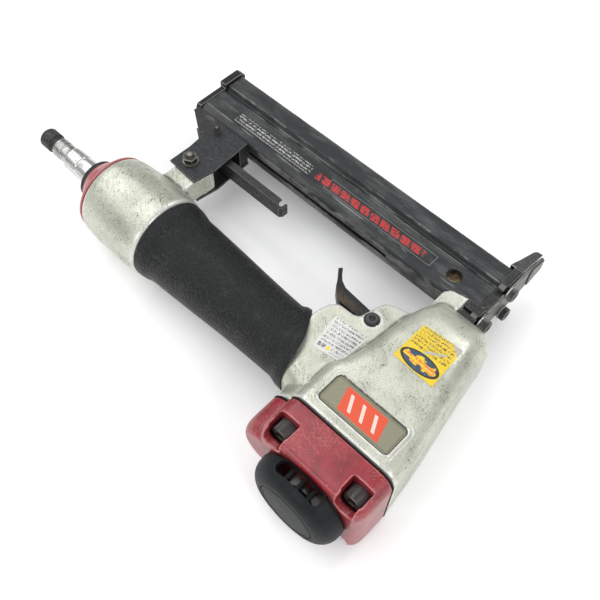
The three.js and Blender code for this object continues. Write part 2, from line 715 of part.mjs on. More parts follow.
// Cap, exhaust and their screws.
add('cap_gasket', gasket(), 0x121212, 0, 0.85);
add('top_cap', topCap(), 0xa8323a, 0.1, 0.5);
capScrewSpots().forEach(([x, h], i) => {
  add(`cap_screw_${i + 1}`, socketScrewY(x, h), 0x24262a, 0.8, 0.45);
});
add('exhaust_deflector', deflector(), 0x1a1b1c, 0, 0.7);
add('deflector_disc', rodY(DEFLECTOR.x, 0, 16.4, DEFLECTOR.top, DEFLECTOR.top + 1.1, 36), 0x2a2b2c, 0, 0.6);
add('deflector_screw', latheY([
  [-88.6, 0], [-88.6, 4.8], [-86.6, 4.8], [-86.6, 2.5], [-64, 2.5], [-64, 0],
], DEFLECTOR.x, 0, 20), 0x6a6c70, 0.9, 0.4);

// Trigger group.
add('trigger', trigger(), 0x1d1e20, 0.6, 0.5);
add('trigger_pin', latheZ([
  [-15.4, 0], [-15.4, 2.5], [15.6, 2.5], [15.6, 3.6], [16.5, 3.6], [16.9, 3], [16.9, 0],
], TRIGGER_PIN[0], TRIGGER_PIN[1], 20), 0x202020, 0.7, 0.4);
add('valve_housing', latheY([[-15, 2.4], [-15, 7], [4.6, 7], [4.6, 2.4]], VALVE_X, 0, 24), 0xb89b50, 0.8, 0.4);
add('valve_stem', latheY([
  [-23, 0], [-23, 4], [-20.6, 4], [-20.6, 2.1], [13.2, 2.1], [13.2, 0],
], VALVE_X, 0, 20), 0x9a948c, 0.9, 0.35);

// Magazine and its feed.
add('guide_rail', block(RAIL.x0, RAIL.x1, RAIL.y0, RAIL.y1, -RAIL.half, RAIL.half), 0x8f9296, 0.9, 0.35);
add('magazine_upper', magazineUpper(), 0x232527, 0.6, 0.5);
add('magazine_lower', magazineLower(), 0x232527, 0.6, 0.5);
add('magazine_end_plate', endPlate(), 0x2c2e30, 0.5, 0.6);
add('staple_strip', stapleStrip(), 0x9a7a50, 0.8, 0.5);
add('pusher', pusher(), 0x8d8f92, 0.9, 0.4);
add('pusher_spring', coil('x', -139.2, 144.4, 2.5, 0.45, 15, 86.4, 0), 0xa0a0a0, 1, 0.3);

// Nose.
add('nose_base', noseBase(), 0x26282b, 0.7, 0.5);
add('contact_foot', contactFoot(), 0x1f2022, 0.3, 0.6);
add('front_plate', frontPlate(), 0x9a9c9c, 0.9, 0.45);
add('tip_guard', tipGuard(), 0x242526, 0.4, 0.6);
let screwNumber = 1;
for (const y of NOSE_SCREW_Y) {
  for (const side of [1, -1]) {
    const head = y < 60 ? 4.6 : 3.2;
    add(`nose_screw_${screwNumber}`, socketScrewX(y, side * NOSE_SCREW_HALF, head, 82.6, 75.6), 0x222326, 0.8, 0.45);
    add(`nose_washer_${screwNumber}`, latheX([
      [PLATE_X1 + 0.05, 2.6], [PLATE_X1 + 0.05, 4.3], [82.5, 4.3], [82.5, 2.6],
    ], y, side * NOSE_SCREW_HALF, 20), 0x8d8f92, 0.9, 0.4);
    screwNumber += 1;
  }
}

// Rear bracket and latch.
add('bracket_near', bracketPlate(1), 0x2e3033, 0.6, 0.5);
add('bracket_far', bracketPlate(-1), 0x2e3033, 0.6, 0.5);
add('bracket_spacer', bracketSpacer(), 0x2a2b2d, 0.7, 0.5);
add('latch_lever', latchLever(), 0x4a4d50, 0.8, 0.45);
add('latch_pin', latheZ([
  [-9.6, 0], [-9.6, 2], [13.8, 2], [14.2, 1.6], [14.2, 0],
], LATCH_PIN[0], LATCH_PIN[1], 16), 0x5c5e60, 0.8, 0.4);
add('lug_bolt', latheZ([
  [-13, 0], [-13, 4.2], [-9.3, 4.2], [-9.3, 2.5], [16, 2.5], [16, 0],
], LUG_BOLT[0], LUG_BOLT[1], 20), 0x5a5348, 0.8, 0.5);
add('lug_washer', latheZ([
  [9.3, 2.7], [9.3, 5], [10.1, 5], [10.1, 2.7],
], LUG_BOLT[0], LUG_BOLT[1], 20), 0x5a5348, 0.8, 0.5);
add('lug_nut', cut(hexRod('z', LUG_BOLT[0], LUG_BOLT[1], 4.6, 10.2, 13.8), [
  rodZ(LUG_BOLT[0], LUG_BOLT[1], 2.6, 9, 15),
]), 0x5a5348, 0.8, 0.5);

// Badge in the head recess and the three stick-on labels.
add('name_plate', nameplate(), 0x9a9468, 0.6, 0.5);
add('head_label', headLabel(), 0xe8cf3a, 0, 0.5);
add('housing_label', housingLabel(), 0xe6e6e0, 0, 0.5);
add('magazine_label', block(-119.6, 41.4, 61.3, 70.6, MAG_HALF + GAP, MAG_HALF + 0.25), 0x1a1b1c, 0, 0.5);

export default group;
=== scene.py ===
import math

import bmesh
import bpy
import numpy as np
from mathutils import Matrix, Vector


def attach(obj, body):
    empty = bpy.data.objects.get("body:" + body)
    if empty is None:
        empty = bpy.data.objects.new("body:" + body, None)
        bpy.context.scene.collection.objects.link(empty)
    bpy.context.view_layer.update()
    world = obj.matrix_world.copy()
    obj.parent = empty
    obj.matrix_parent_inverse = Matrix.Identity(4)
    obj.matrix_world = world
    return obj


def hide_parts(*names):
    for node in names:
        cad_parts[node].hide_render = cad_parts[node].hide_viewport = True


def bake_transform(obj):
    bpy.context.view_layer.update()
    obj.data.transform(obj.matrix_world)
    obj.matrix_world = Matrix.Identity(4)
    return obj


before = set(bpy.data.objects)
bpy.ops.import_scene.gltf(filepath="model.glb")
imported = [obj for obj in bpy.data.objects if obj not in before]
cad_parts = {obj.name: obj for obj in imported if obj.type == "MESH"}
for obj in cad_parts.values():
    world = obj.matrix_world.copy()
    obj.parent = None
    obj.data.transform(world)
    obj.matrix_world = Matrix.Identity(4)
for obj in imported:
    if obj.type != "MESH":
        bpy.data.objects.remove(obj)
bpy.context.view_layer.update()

# Viewpoint. The tool lies on its side and is seen from above the head, with the
# plug at the far left and the nose at the right. Sizes below are in millimetres
# from the head's own datum: x towards the nose, y towards the foot, z up, with
# the tool's middle plane at z = 30.
DATUM = np.array([43.4, -12.5, -1.5])
MIDDLE = 30.0


def place(points):
    """Datum millimetres to the frame's metres: add the datum, divide by 1000."""
    return (np.asarray(points, float) + DATUM) / 1000.0


turn, tilt, roll, reach = (math.radians(42.3), math.radians(58.4), math.radians(1.8), 440.0)
back = np.array([math.sin(turn) * math.cos(tilt), -math.cos(turn) * math.cos(tilt), math.sin(tilt)])
level = np.array([math.cos(turn), math.sin(turn), 0.0])
above = np.cross(back, level)
right = level * math.cos(roll) + above * math.sin(roll)
above = np.cross(back, right)
eye = place(np.array([0, 0, MIDDLE]) + back * reach)
lens = bpy.data.cameras.new("viewpoint")
lens.lens = 48
lens.sensor_width = 36
lens.clip_start = 0.01
camera = bpy.data.objects.new("viewpoint", lens)
bpy.context.scene.collection.objects.link(camera)
camera.matrix_world = Matrix((
    (right[0], above[0], back[0], eye[0]),
    (right[1], above[1], back[1], eye[1]),
    (right[2], above[2], back[2], eye[2]),
    (0, 0, 0, 1),
))
bpy.context.scene.camera = camera


# Shader maths. A Tone stands for one socket of a finish's node tree, so a mask or
# a colour blend is written as plain arithmetic.
class Tone:
    """A socket; + - * / and abs on it add Math nodes to the same tree."""

    def __init__(self, finish, socket):
        self.finish = finish
        self.socket = socket

    def __abs__(self):
        return self.finish.maths("ABSOLUTE", self)

    def fade(self, low, high):
        """0 at low and 1 at high, smooth between; low may be the larger one."""
        return self.finish.node("MapRange", {"interpolation_type": "SMOOTHSTEP"}, {
            "Value": self, "From Min": low, "From Max": high,
        })


def add_operator(word, operation):
    """Gives Tone one operator, with the Tone on its left or on its right."""
    setattr(Tone, f"__{word}__", lambda tone, other: tone.finish.maths(operation, tone, other))
    setattr(Tone, f"__r{word}__", lambda tone, other: tone.finish.maths(operation, other, tone))


for pair in (("add", "ADD"), ("sub", "SUBTRACT"), ("mul", "MULTIPLY"), ("truediv", "DIVIDE")):
    add_operator(*pair)


def fract(tone):
    """A value less its whole number."""
    return tone.finish.maths("FRACT", tone)


class Finish:
    """One procedural material; node() adds a node and returns its first output."""

    def __init__(self, name):
        self.material = bpy.data.materials.new(name)
        self.material.use_nodes = True
        self.tree = self.material.node_tree
        self.shader = self.tree.nodes["Principled BSDF"]

    def node(self, kind, settings=None, sockets=(), output=0):
        made = self.tree.nodes.new("ShaderNode" + kind)
        for key, value in (settings or {}).items():
            setattr(made, key, value)
        pairs = sockets.items() if isinstance(sockets, dict) else enumerate(sockets)
        for key, value in pairs:
            if isinstance(value, Tone):
                self.tree.links.new(value.socket, made.inputs[key])
            else:
                made.inputs[key].default_value = value
        return Tone(self, made.outputs[output])

    def spot(self, stretch=(1, 1, 1), spin=(0, 0, 0), centre=(0, 0, 0)):
        """Object coordinates in datum millimetres, moved, turned and stretched."""
        where = self.node("TexCoord", output=3)
        moved = self.node("VectorMath", {"operation": "SUBTRACT"}, (where, tuple(place(centre))))
        turned = self.node("Mapping", {}, {"Vector": moved, "Rotation": spin})
        scale = tuple(1000.0 * s for s in stretch)
        return self.node("VectorMath", {"operation": "MULTIPLY"}, (turned, scale))

    def axis(self, vector, name):
        return self.node("SeparateXYZ", {}, (vector,), "XYZ".index(name))

    def maths(self, operation, *values):
        return self.node("Math", {"operation": operation}, values)

    def film(self):
        """The piece's own UV map, in millimetres across and along the film."""
        return self.node("UVMap", {"uv_map": "film"})

    def attribute(self, name):
        return self.node("Attribute", {"attribute_name": name}, (), 2)

    def noise(self, vector, scale, detail=3.0, rough=0.55, warp=0.0):
        return self.node("TexNoise", {}, {
            "Vector": vector, "Scale": scale, "Detail": detail, "Roughness": rough, "Distortion": warp,
        })

    def cells(self, vector, scale):
        return self.node("TexVoronoi", {}, {"Vector": vector, "Scale": scale})

    def blend(self, share, first, second):
        made = self.tree.nodes.new("ShaderNodeMix")
        made.data_type = "RGBA"
        for key, value in ((0, share), (6, first), (7, second)):
            if isinstance(value, Tone):
                self.tree.links.new(value.socket, made.inputs[key])
            else:
                made.inputs[key].default_value = value if key == 0 else (*value[:3], 1)
        return Tone(self, made.outputs[2])

    def most(self, first, second):
        return self.maths("MAXIMUM", first, second)

    def bump(self, height, depth, strength=1.0):
        """Bump of the given depth in millimetres for a height from 0 to 1."""
        return self.node("Bump", {}, {"Strength": strength, "Distance": depth / 1000.0, "Height": height})

    def done(self, **sockets):
        for key, value in sockets.items():
            socket = self.shader.inputs[key.replace("_", " ")]
            if isinstance(value, Tone):
                self.tree.links.new(value.socket, socket)
            else:
                socket.default_value = (*value, 1) if isinstance(value, tuple) and len(value) == 3 else value
        return self.material


# Bench top and light. A plain pale top with a faint glow of its own, one broad soft
# light above the plug side, weaker ones from the far, nose and cap sides and an even
# pale surround.
def bench():
    half = 3.0
    corners = [(-half, -half, 0), (half, -half, 0), (half, half, 0), (-half, half, 0)]
    mesh = bpy.data.meshes.new("bench")
    mesh.from_pydata(corners, [], [(0, 1, 2, 3)])
    top = bpy.data.objects.new("bench", mesh)
    bpy.context.scene.collection.objects.link(top)
    finish = Finish("bench_white")
    mottle = finish.noise(finish.spot(), 0.02)
    mesh.materials.append(finish.done(
        Base_Color=finish.blend(mottle, (0.93, 0.93, 0.93), (0.96, 0.96, 0.96)),
        Roughness=0.8,
        Specular_IOR_Level=0.1,
        Emission_Color=(1.0, 1.0, 1.0),
        Emission_Strength=0.10,
    ))


def soft_light(name, spot, aim, size, power):
    lamp = bpy.data.lights.new(name, "AREA")
    lamp.shape = "RECTANGLE"
    lamp.size, lamp.size_y = size
    lamp.energy = power
    lit = bpy.data.objects.new(name, lamp)
    bpy.context.scene.collection.objects.link(lit)
    lit.location = spot
    lit.rotation_euler = (Vector(aim) - Vector(spot)).to_track_quat("-Z", "Y").to_euler()


bench()
soft_light("overhead", (-0.45, -0.12, 0.85), (0.03, 0, 0.02), (1.3, 1.0), 7.5)
soft_light("far_side", (0.15, 0.75, 0.75), (0.05, 0, 0.02), (0.3, 0.2), 2.1)
soft_light("nose_side", (0.8, -0.1, 0.5), (0.05, 0, 0.02), (0.4, 0.4), 2.6)
soft_light("cap_side", (0.1, -0.8, 0.45), (0.05, 0, 0.02), (0.6, 0.25), 1.6)
surround = bpy.data.worlds.new("surround")
surround.use_nodes = True
surround.node_tree.nodes["Background"].inputs["Color"].default_value = (0.97, 0.98, 1.0, 1)
surround.node_tree.nodes["Background"].inputs["Strength"].default_value = 0.50
bpy.context.scene.world = surround
bpy.context.scene.view_settings.view_transform = "Standard"


# Casting. Head, handle core, rear collar, bracket lug and foot boss are one
# aluminium die casting, tumbled to a warm grey and scarred by years of use. Its
# parts are separate closed skins, fused and then softened as a casting's edges are.
def skin_mesh(name, grid, closed_along=False):
    """Quads over a grid of rings; the rings close on themselves, and so does the row of rings
    if closed_along, else each end ring is closed by a fan to its own middle point."""
    rings, steps = grid.shape[:2]
    vertices = grid.reshape(-1, 3)
    along = np.arange(rings if closed_along else rings - 1)
    around = np.arange(steps)
    a = (along[:, None] * steps + around).ravel()
    b = (along[:, None] * steps + (around + 1) % steps).ravel()
    lift = ((along + 1) % rings)[:, None] * steps
    c = (lift + (around + 1) % steps).ravel()
    d = (lift + around).ravel()
    faces = np.stack([a, b, c, d], 1).tolist()
    if not closed_along:
        first, last = len(vertices), len(vertices) + 1
        vertices = np.vstack([vertices, grid[0].mean(0), grid[-1].mean(0)])
        final = (rings - 1) * steps
        faces += np.stack([np.full(steps, first), (around + 1) % steps, around], 1).tolist()
        faces += np.stack([np.full(steps, last), final + around, final + (around + 1) % steps], 1).tolist()
    mesh = bpy.data.meshes.new(name)
    mesh.from_pydata(place(vertices).tolist(), [], faces)
    tidy_mesh(mesh)
    return mesh


def tidy_mesh(mesh, merge=1e-6):
    """Merges doubles, turns every face outwards and drops edges of no length."""
    work = bmesh.new()
    work.from_mesh(mesh)
    bmesh.ops.remove_doubles(work, verts=work.verts, dist=merge)
    bmesh.ops.dissolve_degenerate(work, dist=merge, edges=work.edges)
    bmesh.ops.recalc_face_normals(work, faces=work.faces)
    work.to_mesh(mesh)
    work.free()
    mesh.update()


def smooth_rows(rows, count):
    """Rows of numbers joined by Catmull-Rom curves, read at count even steps of their first column."""
    rows = np.asarray(rows, float)
    key = rows[:, 0]
    slope = np.gradient(rows, key, axis=0)
    t = np.linspace(key[0], key[-1], count)
    i = np.clip(np.searchsorted(key, t, side="right") - 1, 0, len(key) - 2)
    gap = (key[i + 1] - key[i])[:, None]
    u = (t - key[i])[:, None] / gap
    low, high = rows[i], rows[i + 1]
    return (
        (2 * u**3 - 3 * u**2 + 1) * low + (u**3 - 2 * u**2 + u) * gap * slope[i]
        + (3 * u**2 - 2 * u**3) * high + (u**3 - u**2) * gap * slope[i + 1]
    )


def soft_rectangle(low, high, half, radius, per_corner=9):
    """Rounded rectangle as [across, up] pairs: quarter circles of one radius at four corners."""
    quarter = np.linspace(0, math.pi / 2, per_corner)
    angle = (np.arange(4)[:, None] * math.pi / 2 + quarter).ravel()
    middle = np.repeat([[high - radius, half - radius], [low + radius, half - radius],
                        [low + radius, radius - half], [high - radius, radius - half]], per_corner, 0)
    return middle + radius * np.stack([np.cos(angle), np.sin(angle)], 1)


def rings_across_y(rows):
    """Rings lying across y from rows of y, lowest x, highest x, half height, corner radius."""
    rings = []
    for y, low, high, half, radius in rows:
        flat = soft_rectangle(low, high, half, radius)
        rings.append(np.stack([flat[:, 0], np.full(len(flat), y), MIDDLE + flat[:, 1]], 1))
    return np.array(rings)


def rings_across_x(rows):
    """Rings lying across x from rows of x, lowest y, highest y, half height, corner radius."""
    rings = []
    for x, low, high, half, radius in rows:
        flat = soft_rectangle(low, high, half, radius)
        rings.append(np.stack([np.full(len(flat), x), flat[:, 0], MIDDLE + flat[:, 1]], 1))
    return np.array(rings)


def slab(outline, low, high):
    """Rings for a flat plate: one outline of [x, y] pairs at two heights from the middle plane."""
    outline = np.asarray(outline, float)
    return np.array([np.column_stack([outline, np.full(len(outline), MIDDLE + h)]) for h in (low, high)])


def in_order(along, own, first, second):
    """Puts an axis's own coordinate among the other two, as x, y and z."""
    return {"x": (own, first, second), "y": (first, own, second), "z": (first, second, own)}[along]


def turned(rows, centre, along="x", steps=72):
    """Rows of [position, radius] swung round an axis; centre is the axis's other two coordinates."""
    rows = np.asarray(rows, float)
    angle = np.arange(steps) / steps * 2 * math.pi
    spread = rows[:, 1][:, None]
    first = centre[0] + spread * np.cos(angle)
    second = centre[1] + spread * np.sin(angle)
    along_axis = np.repeat(rows[:, 0][:, None], steps, 1)
    return np.stack(in_order(along, along_axis, first, second), 2)


def rod(low, high, radius, centre, along, steps=72):
    """Mesh of a plain cylinder between two places along its axis."""
    rows = [(low, 0), (low, radius), (high, radius), (high, 0)]
    return skin_mesh("rod", turned(rows, centre, along, steps))


def eased(points, radius, closed=False, per_corner=4):
    """Corners of a line swapped for short quadratic curves that start radius before each corner."""
    points = np.asarray(points, float)
    out = []
    for i, corner in enumerate(points):
        if not closed and i in (0, len(points) - 1):
            out.append(corner[None])
            continue
        before, after = points[i - 1] - corner, points[(i + 1) % len(points)] - corner
        near, far = (side * min(radius, np.linalg.norm(side) * 0.45) / max(np.linalg.norm(side), 1e-9)
                     for side in (before, after))
        t = np.linspace(0, 1, per_corner)[:, None]
        out.append(corner + near * (1 - t) ** 2 + far * t**2)
    return np.vstack(out)


def object_from(name, mesh):
    made = bpy.data.objects.new(name, mesh)
    bpy.context.scene.collection.objects.link(made)
    return made


def fused(name, meshes):
    """One object holding several closed skins."""
    work = bmesh.new()
    for mesh in meshes:
        work.from_mesh(mesh)
    joined = bpy.data.meshes.new(name)
    work.to_mesh(joined)
    work.free()
    return object_from(name, joined)


def settle(made):
    """Swaps an object's mesh for the result of its modifiers."""
    bpy.context.view_layer.update()
    baked = bpy.data.meshes.new_from_object(made.evaluated_get(bpy.context.evaluated_depsgraph_get()))
    made.modifiers.clear()
    made.data = baked
    return made


def soften(made, grain, rounds):
    """Remeshes to even quads of the given size in millimetres, then rubs the edges round."""
    remesh = made.modifiers.new("even", "REMESH")
    remesh.mode = "VOXEL"
    remesh.voxel_size = grain / 1000.0
    rub = made.modifiers.new("rub", "SMOOTH")
    rub.factor = 0.5
    rub.iterations = rounds
    return settle(made)


def carve(made, cutters):
    """Cuts closed meshes out of an object, one after another."""
    for mesh in cutters:
        tool = object_from("cutter", mesh)
        step = made.modifiers.new("cut", "BOOLEAN")
        step.operation = "DIFFERENCE"
        step.solver = "MANIFOLD"
        step.object = tool
        settle(made)
        bpy.data.objects.remove(tool)
    return made


def mark_edges(made, rounds=2):
    """Writes attribute "edge": how far each point stands out from the mean of its neighbours,
    positive on outside edges and negative in corners, evened out over a few rounds."""
    mesh = made.data
    count = len(mesh.vertices)
    points = np.empty(count * 3)
    mesh.vertices.foreach_get("co", points)
    points = points.reshape(-1, 3)
    normals = np.empty(count * 3)
    mesh.vertices.foreach_get("normal", normals)
    normals = normals.reshape(-1, 3)
    ends = np.empty(len(mesh.edges) * 2, int)
    mesh.edges.foreach_get("vertices", ends)
    ends = ends.reshape(-1, 2)
    degree = np.maximum(np.bincount(ends.ravel(), minlength=count), 1)

    def mean(values):
        total = np.zeros_like(values)
        np.add.at(total, ends[:, 0], values[ends[:, 1]])
        np.add.at(total, ends[:, 1], values[ends[:, 0]])
        return total / (degree[:, None] if values.ndim == 2 else degree)

    stand = ((points - mean(points)) * normals).sum(1) * 1000.0
    for _ in range(rounds):
        stand = 0.4 * stand + 0.6 * mean(stand)
    mesh.attributes.new("edge", "FLOAT", "POINT").data.foreach_set("value", stand.astype(np.float32))
    return made


def shade(made, angle=35):
    """Smooth shading with edges sharper than the angle kept crisp."""
    mesh = made.data
    mesh.polygons.foreach_set("use_smooth", np.ones(len(mesh.polygons), bool))
    mesh.set_sharp_from_angle(angle=math.radians(angle))
    mesh.update()
    return made


def show(made, material, body, finish_slot, *nodes):
    """Gives a piece its material and its body and hides the CAD nodes that it stands for; finish_slot is not
    used.
    """
    made.data.materials.clear()
    made.data.materials.append(material)
    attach(made, body)
    if nodes:
        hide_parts(*nodes)
    return made


def block(x0, x1, y0, y1, h0, h1):
    """Closed box mesh between two corners, heights from the middle plane."""
    return skin_mesh("block", slab([(x0, y0), (x1, y0), (x1, y1), (x0, y1)], h0, h1))


HEAD = [
    (-52, 44, 109, 28.5, 9), (-26, 44.6, 106, 28.5, 9), (-15, 49.2, 104.3, 28.4, 9.5),
    (-5, 51.2, 102.6, 28.3, 10), (20, 53.6, 98.6, 27.6, 11), (32, 55.4, 97, 25, 11),
    (40, 57.5, 96, 20.5, 10), (46.5, 59.5, 92, 14, 8),
]
LOBE = [(-24, 46, 66, 15.5, 9), (-36, 34, 66, 15.5, 14), (-52, 32, 66, 15.5, 15)]
NECK = [(14, -41, -5, 12, 11), (30, -44.5, 1, 15.5, 13), (48, -50, 8, 15.5, 12), (62, -52, 10, 17.5, 12)]
HOUSING = [
    (17, -14), (16.4, -7), (17.5, -1.8), (19.2, 2.5), (22, 6), (35.1, 6.8), (37.1, 14.8),
    (39.9, 23.6), (53.3, 28.1), (60, 33), (60, -36), (30, -36),
]
COLLAR = [
    (-130, 0), (-130, 24.8), (-126, 25.8), (-114, 26.8), (-92, 27), (-86, 26.7), (-82.2, 26), (-82.2, 0),
]
LUG = [(-115.8, -6), (-115.8, 25), (-112, 27.4), (-99, 27.4), (-95.6, 25), (-97.4, 11), (-97.4, -6)]
BOSS = [(56, 36), (56, 53), (58.5, 56.8), (69.5, 59.4), (69.5, 36)]
COLLAR_Y, HANDLE_Y, BORE_X, CAP_MIDDLE = -23.6, -23.5, 77, 76
PIVOT = (41.5, 10.5)


def head_rows():
    """The head's rows: smooth curves, but straight from the cap's end as far as y = -26."""
    rows = np.array(HEAD, float)
    head = smooth_rows(rows, 60)
    straight = np.stack([np.interp(head[:, 0], rows[:, 0], rows[:, k]) for k in range(1, 5)], 1)
    head[:, 1:] = np.where(head[:, :1] < -26, straight, head[:, 1:])
    return head


def plate_outline(grow, radius, per_corner=9):
    """The name plate's rounded rectangle, grown all round, as [x, y] pairs."""
    return soft_rectangle(54.8 - grow, 97.2 + grow, 8 + grow, radius, per_corner) - (0, 37.5)


def casting():
    skins = [
        rings_across_y(head_rows()), rings_across_y(LOBE), rings_across_x(NECK),
        slab(eased(HOUSING, 2.5, True), -15.5, 15.5),
        slab(eased(LUG, 1, True), -7.7, 7.7), slab(eased(BOSS, 1.2, True), -11.5, 11.5),
        turned(eased(COLLAR, 1.6), (COLLAR_Y, MIDDLE), "x", 96),
        turned([(-88, 0), (-88, 17), (30, 13), (30, 0)], (HANDLE_Y, MIDDLE), "x", 48),
    ]
    made = soften(fused("casting", [skin_mesh("skin", grid) for grid in skins]), 0.95, 7)
    bore, valve = (BORE_X, MIDDLE), (30, MIDDLE)
    carve(made, [
        skin_mesh("plate_pocket", slab(plate_outline(0.6, 2.2), 27.5, 32)),
        block(50, 75, 54.4, 62, -9.1, 9.1),
        block(10, 51.5, 5, 40, -5, 5),
        rod(-54, -12, 22.8, bore, "y"),
        rod(-13, 24, 18.7, bore, "y"),
        block(77.7, 79.9, 23, 50, -5.3, 5.3),
        rod(-16, 8, 7.1, valve, "y"),
        rod(11, 50, 4.4, PIVOT, "z"),
        rod(-132, -119, 20.2, (COLLAR_Y, MIDDLE), "x"),
    ])
    return shade(mark_edges(made, 3), 50)


# Turn and stretch of the noise behind each run of scars on the casting.
SCAR_RUNS = (
    ((0, 0, 0.6), (0.20, 2.4, 1.2)), ((0, 0.3, -0.5), (2.2, 0.17, 1.4)), ((0.2, 0, 1.3), (0.12, 2.8, 1.8)),
)


def casting_finish():
    finish = Finish("tumbled_casting")
    where = finish.spot()
    edge = finish.attribute("edge")
    broad = finish.noise(where, 0.045, 4, 0.6)
    cloud = finish.noise(where, 0.22, 4, 0.6)
    base = finish.blend(broad.fade(0.35, 0.7), (0.61, 0.62, 0.525), (0.46, 0.47, 0.388))
    base = finish.blend(cloud.fade(0.5, 0.75) * 0.22, base, (0.30, 0.295, 0.27))
    grain = finish.noise(where, 2.2, 2, 0.6)
    base = finish.blend(grain.fade(0.47, 0.66) * 0.34, base, (0.22, 0.222, 0.19))
    zone = finish.noise(where, 0.09, 3, 0.6).fade(0.44, 0.62)
    pits = finish.noise(where, 1.1, 4, 0.7).fade(0.605, 0.625) * (0.30 + 0.70 * zone)
    scars = None
    for spin, stretch in SCAR_RUNS:
        line = finish.noise(finish.spot(stretch, spin), 1.0, 3, 0.6, 0.4).fade(0.634, 0.646)
        scars = line if scars is None else finish.most(scars, line)
    collar = finish.axis(where, "X").fade(-75, -95)
    scars = scars * (zone * 0.55 + 0.25 + 0.5 * collar)
    hollow = edge.fade(-0.010, -0.05)
    proud = edge.fade(0.012, 0.05)
    dirt = finish.most(finish.most(pits * 0.85, scars), hollow * cloud.fade(0.2, 0.5) * 0.8)
    base = finish.blend(proud * 0.6, base, (0.74, 0.74, 0.71))
    base = finish.blend(dirt, base, (0.055, 0.052, 0.042))
    relief = grain * 0.35 + finish.noise(where, 0.8, 3, 0.5) * 0.5 - dirt * 0.6
    return finish.done(
        Base_Color=base,
        Metallic=dirt.fade(0.6, 0.1) * 0.62,
        Roughness=0.29 + cloud * 0.16 + dirt * 0.3,
        Normal=finish.bump(relief, 0.09, 0.8),
    )


casting_grey = casting_finish()
body = show(casting(), casting_grey, "tool", "cast", "body_casting")


# Rubber sleeve. A thick black moulding stretched over the handle core, with a
# fine pebble all over, a swelling at the collar and a proud lip against the head.
SLEEVE = [
    (-82, 25.6, 25), (-77, 25.2, 24.2), (-72, 24, 22), (-62, 23.4, 21.2), (-40, 22.2, 20.4), (-20, 21, 19.6),
    (-4, 20.2, 19), (2, 20, 18.8), (5.5, 20.1, 19.0), (8, 21.3, 20.3), (10, 21.6, 20.6),
]


def sleeve():
    """Ovals along x; towards the head each leans forward by a share of
    18 * how far it is to the cap side + 8 * (1 - sqrt(1 - (height / 21.6) squared))."""
    rows = smooth_rows(SLEEVE, 150)
    rows = np.vstack([rows, [(10.9, 21.6, 20.6), (11.0, 20, 19), (10.2, 17, 15)]])
    angle = np.linspace(0, 2 * math.pi, 128, endpoint=False)
    y = HANDLE_Y + rows[:, 1][:, None] * np.cos(angle)
    h = rows[:, 2][:, None] * np.sin(angle)
    across = (HANDLE_Y + 22 - y) / 44
    lean = 18 * across + 8 - 8 * np.sqrt(np.clip(1 - (h / 21.6) ** 2, 0, None))
    share = np.clip((rows[:, 0][:, None] + 20) / 30, 0, 1) ** 1.3
    x = rows[:, 0][:, None] + share * lean
    made = object_from("grip", skin_mesh("grip", np.stack([x, y, MIDDLE + h], 2)))
    return shade(made, 60)


def sleeve_finish():
    finish = Finish("pebbled_rubber")
    where = finish.spot()
    pebble = finish.cells(where, 0.75)
    fine = finish.noise(where, 2.6, 2)
    dust = finish.noise(where, 0.10, 4, 0.65).fade(0.50, 0.72)
    cracks = finish.noise(finish.spot((1, 1, 1), (0, 0, 0.4)), 0.7, 5, 0.75).fade(0.62, 0.72)
    base = finish.blend(dust * 0.6, (0.005, 0.006, 0.0065), (0.015, 0.017, 0.017))
    base = finish.blend(pebble.fade(0.50, 0.05) * (0.3 + 0.4 * dust), base, (0.062, 0.063, 0.062))
    relief = pebble.fade(0.75, 0.1) + fine * 0.35 - cracks * 0.3 * dust
    return finish.done(
        Base_Color=base, Roughness=0.38 - dust * 0.06 + fine * 0.08, Specular_IOR_Level=0.27,
        Normal=finish.bump(relief, 0.34, 1.0),
    )


show(sleeve(), sleeve_finish(), "tool", "rubber", "grip_sleeve")


# Air inlet. A painted cone closes the collar; a rubber ring, a chromed swivel
# barrel and a dark steel plug nipple follow on one axis.
def rim(name, rows, centre, along="x", steps=96, radius=0.5):
    """A turned ring whose profile closes on itself, with its corners eased."""
    made = object_from(name, skin_mesh(name, turned(eased(rows, radius, True), centre, along, steps), True))
    return shade(made, 40)


